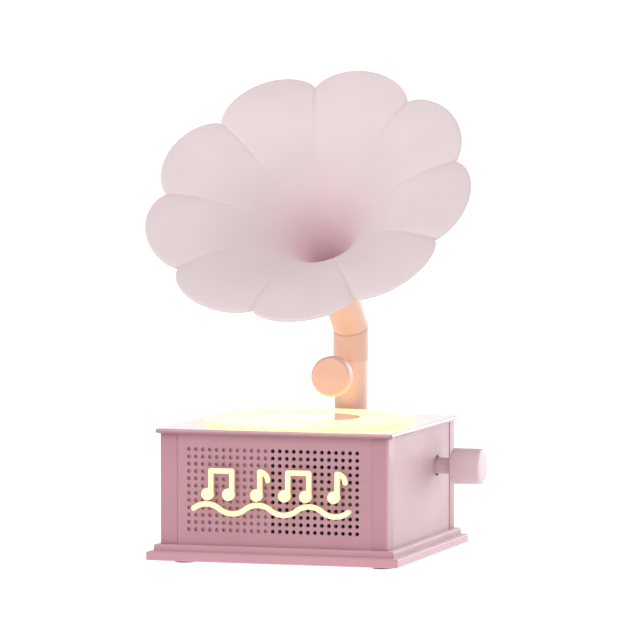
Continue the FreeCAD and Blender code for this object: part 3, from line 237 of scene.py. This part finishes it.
# what the plastics share: sizes in millimetres, scales in waves per metre
plasticLook = {"driftScale": 38.0, "driftDetail": 3.0, "driftLow": 0.965, "driftHigh": 1.03,
               "edgeRadius": 0.35, "edgeSamples": 6, "edgeLean": 0.75, "edgeGain": 0.3,
               "edgeHighlightGain": 1.18, "edgeHighlightLift": 0.03, "grainScale": 2400.0, "grainDetail": 4.0,
               "roughLow": 0.36, "roughHigh": 0.48, "bump": 0.10, "bumpDepth": 0.05, "ior": 1.5,
               "sheen": 0.0, "sheenRough": 0.4, "coat": 0.0, "coatRough": 0.2, "shades": []}

# case: a painted shadow darkens the front and the posts under the lid, and a painted highlight makes the near
# corner paler
upward = np.array([0.0, 0.0, 1.0])
outward = np.array([0.7071, -0.7071, 0.0])
postLow, postHigh = nodeBox("post_front_right")
# painted shadow of the lid: the front and the posts darker just under it
lidShadow = {"mask": nearPlane, "point": lidLow, "normal": upward, "near": 0.2, "far": 3.2, "most": 0.6,
            "colour": (0.33, 0.15, 0.185)}
# painted highlight along the near corner's rounded edge
cornerHighlight = {"mask": nearPlane, "point": (postHigh[0], postLow[1], 0.0), "normal": outward,
              "near": 0.3, "far": 1.1, "most": 0.9, "colour": (0.60, 0.40, 0.443)}
caseFinish = mouldedPlastic("casePinkPlastic", {**plasticLook, "colour": (0.515, 0.258, 0.306), "sheen": 0.8})
postFinish = mouldedPlastic("postPinkPlastic", {**plasticLook, "colour": (0.475, 0.235, 0.279), "sheen": 0.65,
                                                "shades": [lidShadow, cornerHighlight]})
plinthFinish = mouldedPlastic("plinthPinkPlastic", {**plasticLook, "colour": (0.55, 0.275, 0.328),
                                                    "sheen": 0.8})

# sides: a painted shadow of the winding knob, a soft dark patch in front of its stem
panelRight = nodeBox("right_panel")[1][0]
knobMiddle = sum(nodeBox("winding_knob")) / 2
shadowForward, shadowUp = 8.0, 1.0
# painted shadow cast by the knob on the side panel
knobShadow = {"mask": nearPoint, "point": (panelRight, knobMiddle[1] - shadowForward, knobMiddle[2] + shadowUp),
             "near": 4.0, "far": 18.0, "most": 0.4, "colour": (0.30, 0.10, 0.135)}
# the side pink is the case pink made paler: a painted reflection of the bright light at the side
sideFinish = mouldedPlastic("sidePinkPlastic", {**plasticLook, "colour": (0.515, 0.288, 0.328), "sheen": 0.8,
                                                "shades": [knobShadow]})

# front: painted shade in the holes, their walls dark right of the backing, and nearly plain in front of it
holeShade = {"mask": behindPlane, "front": nodeBox("front_grille")[0][1], "start": 0.15, "full": 0.6,
            "rightOf": nodeBox("grille_backing")[1][0], "step": 0.2, "leftShare": 0.08,
            "colour": (0.05, 0.012, 0.02)}
grilleFinish = mouldedPlastic("grillePinkPlastic", {**plasticLook, "colour": (0.484, 0.243, 0.288),
                                                    "sheen": 0.8, "shades": [holeShade, lidShadow]})
knobFinish = mouldedPlastic("knobPalePink", {**plasticLook, "colour": (0.71, 0.53, 0.555), "sheen": 0.5})

# pipe, elbow and soundbox: a fine dark line follows the elbow's mitre
hornTilt, mitreHeight = math.radians(46.2), 91.7
mitreNormal = np.array([0.0, -math.sin(hornTilt / 2), math.cos(hornTilt / 2)])
mitreLine = {"mask": nearPlane, "point": (pipeX, pipeY, mitreHeight), "normal": mitreNormal,
             "near": 0.2, "far": 0.65, "most": 0.45, "colour": (0.42, 0.22, 0.12)}
pipeFinish = mouldedPlastic("pipePinkPlastic", {**plasticLook, "colour": (0.78, 0.53, 0.46), "edgeGain": 0.2})
elbowFinish = mouldedPlastic("elbowPinkPlastic", {**plasticLook, "colour": (0.72, 0.47, 0.39),
                                                  "edgeGain": 0.2, "shades": [mitreLine]})
discFinish = mouldedPlastic("soundboxPinkPlastic", {**plasticLook, "colour": (0.66, 0.43, 0.40),
                                                    "edgeGain": 0.2})

# lid: glossy, with painted shade along the lower half of its edge
lidEdgeShade = {"mask": nearPlane, "point": lidLow, "normal": upward, "near": 0.6, "far": 1.5, "most": 0.8,
                "colour": (0.27, 0.105, 0.14)}
lidFinish = mouldedPlastic("lidPinkGloss", {**plasticLook, "colour": (0.60, 0.295, 0.36), "roughLow": 0.22,
                                            "roughHigh": 0.30, "coat": 0.95, "coatRough": 0.10, "bump": 0.03,
                                            "sheen": 0.35, "shades": [lidEdgeShade]})

# horn: painted bounce light makes it pinker towards the throat, and painted shade makes it greyer along the
# rim
throatForward, throatHeight = 19.0, 109.4
# painted light bounced between the petals: pinker towards the throat
throatBounce = {"mask": nearPoint, "point": (pipeX, pipeY - throatForward, throatHeight), "near": 20.0,
               "far": 55.0, "most": 1.0, "colour": (0.82, 0.61, 0.66)}
# painted shade: greyer along the rim's lip
rimShade = {"mask": storedShare, "name": "rimShare", "most": 0.6, "colour": (0.50, 0.45, 0.46)}
hornFinish = mouldedPlastic("hornMattePink", {**plasticLook, "colour": (0.738, 0.616, 0.632),
                                              "roughLow": 0.55, "roughHigh": 0.68, "bump": 0.14,
                                              "grainScale": 1500.0, "ior": 1.42, "edgeGain": 0.15,
                                              "sheen": 0.1, "shades": [throatBounce, rimShade]})

# feet, label and the plastics inside
rubberFinish = mouldedPlastic("footRubber", {**plasticLook, "colour": (0.20, 0.09, 0.12), "roughLow": 0.7,
                                             "roughHigh": 0.85, "bump": 0.3, "grainScale": 1600.0})
labelFinish = mouldedPlastic("labelGloss", {**plasticLook, "colour": (0.86, 0.70, 0.62), "roughLow": 0.08,
                                            "roughHigh": 0.14, "coat": 0.8, "coatRough": 0.04, "bump": 0.03})
whiteFinish = mouldedPlastic("innerWhitePlastic", {**plasticLook, "colour": (0.80, 0.79, 0.76)})
darkFinish = mouldedPlastic("innerDarkPlastic", {**plasticLook, "colour": (0.045, 0.043, 0.045),
                                                 "edgeGain": 0.2})
boardFinish = mouldedPlastic("lampBoardGreen", {**plasticLook, "colour": (0.05, 0.20, 0.09), "coat": 0.5})
cellFinish = mouldedPlastic("cellJacket", {**plasticLook, "colour": (0.10, 0.11, 0.14), "roughLow": 0.2,
                                           "roughHigh": 0.32})

# lit plastics: the platter and the motif are lit from within; the backing's faint glow is painted light
lampLook = {"cloudDetail": 3.0, "grainScale": 2600.0, "grainDetail": 3.0, "bump": 0.08, "bumpDepth": 0.05}
platterFinish = lampPlastic("platterGlow", {**lampLook, "cloudScale": 30.0, "glowLow": (1.0, 0.87, 0.32),
                                            "glowHigh": (1.0, 0.93, 0.40), "strength": 0.85,
                                            "skinLow": (0.90, 0.85, 0.55), "skinHigh": (0.94, 0.90, 0.64),
                                            "specular": 0.04, "roughLow": 0.22, "roughHigh": 0.34})
motifFinish = lampPlastic("motifGlow", {**lampLook, "cloudScale": 160.0, "glowLow": (0.95, 0.78, 0.36),
                                        "glowHigh": (1.0, 0.88, 0.48), "strength": 0.28,
                                        "skinLow": (0.88, 0.80, 0.48), "skinHigh": (0.93, 0.86, 0.56),
                                        "specular": 0.3, "roughLow": 0.3, "roughHigh": 0.42})
# painted light: the backing glows faintly though no lamp lights it, so the holes in front of it show paler
backingLook = {**lampLook, "cloudScale": 60.0, "glowLow": (0.95, 0.42, 0.54), "glowHigh": (1.0, 0.48, 0.60),
               "strength": 0.2, "skinLow": (0.66, 0.48, 0.51), "skinHigh": (0.73, 0.55, 0.58),
               "specular": 0.3, "roughLow": 0.4, "roughHigh": 0.55}
paintedGlowFinish = lampPlastic("backingPaintedGlow", backingLook)

# metals
metalLook = {"lineScale": 900.0, "lineDetail": 4.0, "stretch": (0.1, 1, 1), "cloudScale": 120.0,
             "cloudDetail": 3.0, "cloudLow": 0.82, "cloudHigh": 1.06, "bump": 0.12, "bumpDepth": 0.03,
             "roughLow": 0.25}
steelFinish = brushedMetal("brushedSteel", {**metalLook, "colour": (0.56, 0.56, 0.57), "roughHigh": 0.42})
brassFinish = brushedMetal("satinBrass", {**metalLook, "colour": (0.72, 0.53, 0.25), "roughHigh": 0.40})

finishes = {"case_pink": caseFinish, "horn_pink": hornFinish, "lid_pink": lidFinish,
            "light_plastic": platterFinish, "label_gloss": labelFinish, "motif_light": motifFinish,
            "foot_rubber": rubberFinish, "steel": steelFinish, "brass": brassFinish,
            "white_plastic": whiteFinish, "dark_plastic": darkFinish, "circuit_board": boardFinish,
            "cell_jacket": cellFinish}
ownFinish = {"pipe": pipeFinish, "tone_arm": pipeFinish, "elbow": elbowFinish, "soundbox": discFinish,
             "winding_knob": knobFinish, "plinth": plinthFinish, "left_panel": sideFinish,
             "right_panel": sideFinish, "front_grille": grilleFinish, "grille_backing": paintedGlowFinish}
for node, slot in nodeSlot.items():
    for place in frame["nodes"][node].material_slots:
        place.material = ownFinish.get(node, finishes[slot])
print("finishes set:", len(bpy.data.materials))

mergeGap = 0.002  # points nearer than this become one


# a piece from a grid of points in millimetres: each quad joins a point to the next row and the next column,
# doubled points at seams and poles are merged, shares stay with their points,
# and the piece rides on its node's body
def gridPiece(name, points, nodes, finish, wrapRows=False, shares=None):
    rows, columns = points.shape[:2]
    row, column = np.meshgrid(np.arange(rows if wrapRows else rows - 1), np.arange(columns), indexing="ij")
    nextRow, nextColumn = (row + 1) % rows, (column + 1) % columns
    corners = [row * columns + column, row * columns + nextColumn, nextRow * columns + nextColumn,
               nextRow * columns + column]
    quads = np.stack(corners, axis=-1).reshape(-1, 4)
    mesh = bpy.data.meshes.new(name)
    mesh.from_pydata((points.reshape(-1, 3) * mm).tolist(), [], quads.tolist())
    for label, values in (shares or {}).items():
        stored = mesh.attributes.new(label, "FLOAT", "POINT")
        stored.data.foreach_set("value", values.ravel().astype(np.float32))
    clean = bmesh.new()
    clean.from_mesh(mesh)
    bmesh.ops.remove_doubles(clean, verts=clean.verts, dist=mergeGap * mm)
    bmesh.ops.recalc_face_normals(clean, faces=clean.faces)
    clean.to_mesh(mesh)
    clean.free()
    mesh.polygons.foreach_set("use_smooth", np.ones(len(mesh.polygons), dtype=bool))
    mesh.materials.append(finish)
    piece = bpy.data.objects.new(name, mesh)
    bpy.context.scene.collection.objects.link(piece)
    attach(piece, bodyOf[nodes[0]])
    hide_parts(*nodes)
    return piece


# corners softened: each corner becomes a quadratic curve from a little before it to a little after it
def softProfile(corners, rounds, steps=7):
    corner = np.array(corners, dtype=float)
    reach = np.array(rounds, dtype=float)[:, None]
    before = np.roll(corner, 1, axis=0) - corner
    after = np.roll(corner, -1, axis=0) - corner
    start = corner + reach * before / np.linalg.norm(before, axis=1, keepdims=True)
    end = corner + reach * after / np.linalg.norm(after, axis=1, keepdims=True)
    t = np.linspace(0.0, 1.0, steps)[None, :, None]
    curve = (1 - t) ** 2 * start[:, None] + 2 * t * (1 - t) * corner[:, None] + t ** 2 * end[:, None]
    return curve.reshape(-1, 2)


# lathe surface: origin + height * axis + radius * (cos(angle) * right + sin(angle) * up)
def spun(profile, origin, axis, right, turns):
    axis, right = np.array(axis, dtype=float), np.array(right, dtype=float)
    up = np.cross(axis, right)
    angle = np.linspace(0.0, 2 * np.pi, turns, endpoint=False)
    ring = np.cos(angle)[:, None] * right + np.sin(angle)[:, None] * up
    return np.array(origin) + profile[:, None, 1:] * axis + profile[:, None, :1] * ring[None]


hornLook = {"tilt": hornTilt, "mitreHeight": mitreHeight, "throat": 5.9, "wall": 1.6, "reach": 84.0,
            "depth": 55.0, "petals": 9, "turn": 19.5, "notch": 62.3, "tip": 69.8, "lift": 2.9,
            "fullness": 1.4, "acrossSteps": 40, "alongSteps": 60, "crowding": 0.9, "rimSteps": 7,
            "seamDepth": 0.16, "seamWidth": 0.7}


# a petal's wall: along 0 at the throat to 1 at the rim, across -1 to 1 between seams, offset behind the inner
# face. radius = rim - (rim - throat) cos(turn), height = foot + depth sin(turn), both pushed along the wall's
# normal; rim and depth swell from seam to crown by cos(across)^fullness
def petalWall(look, along, across, offset):
    swell = np.clip(np.cos(across * np.pi / 2), 0.0, 1.0) ** look["fullness"]
    rim = look["notch"] + swell * (look["tip"] - look["notch"]) - look["wall"] / 2
    depth = look["depth"] + swell * look["lift"]
    turn = along * np.pi / 2
    slopeOut = (rim - look["throat"]) * np.sin(turn)
    slopeUp = depth * np.cos(turn)
    steep = np.hypot(slopeOut, slopeUp)
    radius = rim - (rim - look["throat"]) * np.cos(turn) + offset * slopeUp / steep
    height = look["reach"] - look["depth"] + depth * np.sin(turn) - offset * slopeOut / steep
    return radius, height


# the horn: inner walls up to the rim, a half round over the rim, outer walls back to the throat, all tilted
# about the mitre; the seams are grooves of depth exp(-(distance / width)^2), fading towards the throat
def buildHorn(look):
    across = np.tile(np.linspace(-1.0, 1.0, look["acrossSteps"], endpoint=False), look["petals"])
    petal = np.repeat(np.arange(look["petals"]), look["acrossSteps"])
    pitch = 2 * np.pi / look["petals"]
    fromCrown = pitch / 2 * np.sin(across * np.pi / 2)
    angle = math.radians(look["turn"]) + (petal + 0.5) * pitch + fromCrown
    along = np.linspace(0.0, 1.0, look["alongSteps"])[:, None] ** look["crowding"]
    plainRadius, _ = petalWall(look, along, across[None], 0.0)
    fromSeam = plainRadius * (pitch / 2 - np.abs(fromCrown))
    groove = look["seamDepth"] * np.exp(-(fromSeam / look["seamWidth"]) ** 2) * np.sqrt(along)
    inner = petalWall(look, along, across[None], groove)
    outer = petalWall(look, along[::-1], across[None], look["wall"])
    lipTurn = np.linspace(0.0, np.pi, look["rimSteps"] + 2)[1:-1, None]
    lip = (inner[0][-1:] + look["wall"] / 2 * np.sin(lipTurn),
           outer[1][:1] + look["wall"] / 2 * (1 + np.cos(lipTurn)))
    radius = np.concatenate([inner[0], lip[0], outer[0]])
    height = np.concatenate([inner[1], lip[1], outer[1]])
    local = np.stack([radius * np.cos(angle), radius * np.sin(angle), height], axis=-1)
    lean = look["tilt"]
    turned = np.stack([local[..., 0], local[..., 1] * math.cos(lean) - local[..., 2] * math.sin(lean),
                       local[..., 1] * math.sin(lean) + local[..., 2] * math.cos(lean)], axis=-1)
    points = turned + np.array([pipeX, pipeY, look["mitreHeight"]])
    onRim = np.zeros(points.shape[:2])
    onRim[look["alongSteps"] + look["rimSteps"] // 2:-look["alongSteps"]] = 1.0
    return gridPiece("horn_bell", points, ["horn"], hornFinish, wrapRows=True, shares={"rimShare": onRim})


horn = buildHorn(hornLook)
print("horn made:", len(horn.data.polygons), "faces")

platterLook = {"radius": 43.7, "rise": 2.1, "edge": 0.55, "seatRadius": 36.85, "seatDepth": 1.9,
               "seatEdge": 0.1, "underEdge": 0.25, "labelRadius": 21.35, "labelDepth": 0.4, "labelEdge": 0.12,
               "grooveFrom": 24.0, "grooveTo": 41.6, "grooveMargin": 0.6, "grooves": 20, "grooveDepth": 0.06,
               "perGroove": 8, "turns": 160}


# the luminous platter: seat below the lid's top, soft outer edge, then rings of shallow cosine grooves and
# the recess for the label
def buildPlatter(look):
    top = look["rise"]
    outside = softProfile([(0.0, -look["seatDepth"]), (look["seatRadius"], -look["seatDepth"]),
                           (look["seatRadius"], 0.0), (look["radius"], 0.0), (look["radius"], top),
                           (look["grooveTo"] + look["grooveMargin"], top)],
                          [0.0, look["seatEdge"], 0.0, look["underEdge"], look["edge"], 0.0])
    radius = np.linspace(look["grooveTo"], look["grooveFrom"], look["grooves"] * look["perGroove"] + 1)
    share = (look["grooveTo"] - radius) / (look["grooveTo"] - look["grooveFrom"])
    height = top - look["grooveDepth"] * (0.5 - 0.5 * np.cos(2 * np.pi * look["grooves"] * share))
    floor = top - look["labelDepth"]
    middle = softProfile([(look["grooveFrom"] - look["grooveMargin"], top), (look["labelRadius"], top),
                          (look["labelRadius"], floor), (0.0, floor)], [0.0, look["labelEdge"], 0.0, 0.0])
    profile = np.concatenate([outside, np.stack([radius, height], axis=1), middle])
    points = spun(profile, (caseX, caseY, lidHigh[2]), (0, 0, 1), (1, 0, 0), look["turns"])
    return gridPiece("platter_disc", points, ["platter"], platterFinish)


platter = buildPlatter(platterLook)

knobLook = {"bore": 2.05, "stem": 3.4, "stemEnd": 9.5, "radius": 7.5, "length": 22.2, "boreEnd": 15.85,
            "stemEdge": 0.2, "shoulder": 0.25, "innerEdge": 0.5, "outerEdge": 1.15, "turns": 120}


# the winding knob: stem, shoulder and grip turned about the winding axis, with soft edges and a blind bore
def buildKnob(look):
    low, high = nodeBox("winding_knob")
    profile = softProfile([(look["bore"], 0.0), (look["stem"], 0.0), (look["stem"], look["stemEnd"]),
                           (look["radius"], look["stemEnd"]), (look["radius"], look["length"]),
                           (0.0, look["length"]), (0.0, look["boreEnd"]), (look["bore"], look["boreEnd"])],
                          [0.0, look["stemEdge"], look["shoulder"], look["innerEdge"], look["outerEdge"],
                           0.0, 0.0, 0.0])
    profile = np.concatenate([profile, profile[:1]])
    origin = (low[0], (low[1] + high[1]) / 2, (low[2] + high[2]) / 2)
    points = spun(profile, origin, (1, 0, 0), (0, 1, 0), look["turns"])
    return gridPiece("winding_grip", points, ["winding_knob"], knobFinish)


knob = buildKnob(knobLook)

soundboxLook = {"radius": 8.6, "thickness": 6.0, "frontEdge": 1.3, "backEdge": 0.9, "ringRadius": 6.9,
                "ringHalf": 0.15, "ringEdge": 0.1, "ringDrop": 0.06, "turns": 120}


# the soundbox: a thick disc facing the front, its face a shade lower inside a faint ring
def buildSoundbox(look):
    low, high = nodeBox("soundbox")
    ringOut, ringIn = look["ringRadius"] + look["ringHalf"], look["ringRadius"] - look["ringHalf"]
    profile = softProfile([(0.0, look["thickness"]), (look["radius"], look["thickness"]),
                           (look["radius"], 0.0), (ringOut, 0.0), (ringIn, look["ringDrop"]),
                           (0.0, look["ringDrop"])],
                          [0.0, look["backEdge"], look["frontEdge"], look["ringEdge"], look["ringEdge"], 0.0])
    origin = ((low[0] + high[0]) / 2, low[1], (low[2] + high[2]) / 2)
    points = spun(profile, origin, (0, 1, 0), (1, 0, 0), look["turns"])
    return gridPiece("soundbox_disc", points, ["soundbox"], discFinish)


soundbox = buildSoundbox(soundboxLook)

postLook = {"upright": 0.25, "ends": 0.15, "acrossSteps": 6}


# a square post: a rounded square ring carried up a profile that closes on the middle of both ends
def buildPost(name, look):
    low, high = nodeBox(name)
    half = (high - low) / 2
    middle = (high + low) / 2
    square = softProfile([(half[0], half[1]), (-half[0], half[1]), (-half[0], -half[1]), (half[0], -half[1])],
                         [look["upright"]] * 4, look["acrossSteps"])
    rise = softProfile([(0.0, low[2]), (1.0, low[2]), (1.0, high[2]), (0.0, high[2])],
                       [0.0, look["ends"] / half[0], look["ends"], 0.0])
    rise[:, 1] = np.clip(rise[:, 1], low[2], high[2])
    flat = rise[:, None, :1] * square[None] + middle[:2]
    level = np.broadcast_to(rise[:, None, 1:], flat.shape[:2] + (1,))
    return gridPiece(name + "_soft", np.concatenate([flat, level], axis=-1), [name], postFinish)


posts = [buildPost(name, postLook) for name in ("post_front_left", "post_front_right", "post_rear_left",
                                                "post_rear_right")]
print("turned pieces and posts made:", len([platter, knob, soundbox, *posts]))

floorLook = {"half": 60.0, "points": 9, "colour": (0.36, 0.36, 0.36), "cloudScale": 3.0, "cloudLow": 0.99,
             "rough": 0.9, "specular": 0.1, "glow": 0.95}


# plain pale floor in metres: an even grid of points over a wide square on the ground, height 0
def buildFloor(look):
    count = look["points"]
    line = np.linspace(-look["half"], look["half"], count)
    x, y = np.meshgrid(line, line)
    points = np.stack([x, y, np.zeros_like(x)], axis=-1)
    row, column = np.meshgrid(np.arange(count - 1), np.arange(count - 1), indexing="ij")
    first = row * count + column
    quads = np.stack([first, first + 1, first + count + 1, first + count], axis=-1)
    mesh = bpy.data.meshes.new("floor")
    mesh.from_pydata(points.reshape(-1, 3).tolist(), [], quads.reshape(-1, 4).tolist())
    material, tree, shader, where = newFinish("floorPale")
    cloud = noiseOf(tree, where, look["cloudScale"])
    base = np.array(look["colour"])
    tint = mixed(tree, cloud, tuple(base * look["cloudLow"]), tuple(base))
    tree.links.new(tint, shader.inputs["Base Color"])
    shader.inputs["Roughness"].default_value = look["rough"]
    shader.inputs["Specular IOR Level"].default_value = look["specular"]
    shader.inputs["Emission Color"].default_value = (1.0, 1.0, 1.0, 1.0)
    shader.inputs["Emission Strength"].default_value = look["glow"]
    mesh.materials.append(material)
    floor = bpy.data.objects.new("floor", mesh)
    bpy.context.scene.collection.objects.link(floor)


buildFloor(floorLook)

# lamps: name, place and size of side in metres, watts, colour
lightLook = {"horizon": 1.12, "zenith": 0.30, "skyFrom": 0.12, "skyTo": 0.75, "aimHeight": 90.0,
             "lamps": [("key", (-0.8, -1.6, 1.5), 1.2, 8.4, (1.0, 0.99, 0.98)),
                       ("side", (0.7, 1.6, 0.45), 0.9, 10.0, (1.0, 0.995, 0.99)),
                       ("top", (0.0, -0.5, 1.8), 1.2, 9.5, (1.0, 1.0, 1.0))],
             "glowSize": 0.07, "glowBack": 14.0, "glowRise": 2.6, "glowWatts": 0.014,
             "glowColour": (1.0, 0.70, 0.25)}


# a bright horizon that dims upwards, soft boxes aimed at the middle of the object,
# and a warm lamp just over the platter, turned upwards
def buildLights(look):
    world = bpy.data.worlds.new("studio")
    bpy.context.scene.world = world
    world.use_nodes = True
    tree = world.node_tree
    sky = addNode(tree, "ShaderNodeSeparateXYZ")
    tree.links.new(addNode(tree, "ShaderNodeTexCoord").outputs["Generated"], sky.inputs["Vector"])
    dimming = ranged(tree, sky.outputs["Z"], look["horizon"], look["zenith"], look["skyFrom"], look["skyTo"])
    tree.links.new(dimming, tree.nodes["Background"].inputs["Strength"])
    tree.nodes["Background"].inputs["Color"].default_value = (1.0, 1.0, 1.0, 1.0)
    aim = Vector((0.0, 0.0, look["aimHeight"] * mm))
    for name, spot, side, watts, colour in look["lamps"]:
        lamp = bpy.data.lights.new(name, "AREA")
        lamp.shape = "SQUARE"
        lamp.size = side
        lamp.energy = watts
        lamp.color = colour
        holder = bpy.data.objects.new(name, lamp)
        holder.location = spot
        holder.rotation_mode = "QUATERNION"
        holder.rotation_quaternion = (aim - Vector(spot)).to_track_quat("-Z", "Y")
        bpy.context.scene.collection.objects.link(holder)
    warm = bpy.data.lights.new("platterWarmth", "AREA")
    warm.shape = "DISK"
    warm.size = look["glowSize"]
    warm.energy = look["glowWatts"]
    warm.color = look["glowColour"]
    holder = bpy.data.objects.new("platterWarmth", warm)
    holder.location = (caseX * mm, (caseY + look["glowBack"]) * mm, (lidHigh[2] + look["glowRise"]) * mm)
    holder.rotation_euler = (math.pi, 0.0, 0.0)
    bpy.context.scene.collection.objects.link(holder)


buildLights(lightLook)

cameraLook = {"azimuth": 17.04, "elevation": 3.79, "distance": 2341.2, "aim": (4.573, 0.0, 98.68),
              "lens": 316.53, "sensor": 36.0, "clipStart": 0.05, "clipEnd": 300.0}


# camera on a sphere about the aim: azimuth round from the front, elevation above the ground
def buildCamera(look):
    a, e = math.radians(look["azimuth"]), math.radians(look["elevation"])
    aim = Vector((caseX + look["aim"][0], caseY + look["aim"][1], look["aim"][2])) * mm
    back = Vector((math.sin(a) * math.cos(e), -math.cos(a) * math.cos(e), math.sin(e)))
    data = bpy.data.cameras.new("camera")
    data.sensor_width = look["sensor"]
    data.lens = look["lens"]
    data.clip_start, data.clip_end = look["clipStart"], look["clipEnd"]
    camera = bpy.data.objects.new("camera", data)
    camera.location = aim + back * look["distance"] * mm
    camera.rotation_mode = "QUATERNION"
    camera.rotation_quaternion = (-back).to_track_quat("-Z", "Y")
    bpy.context.scene.collection.objects.link(camera)
    bpy.context.scene.camera = camera


buildCamera(cameraLook)
bpy.context.scene.view_settings.view_transform = "Standard"
print("floor, lights and camera set")
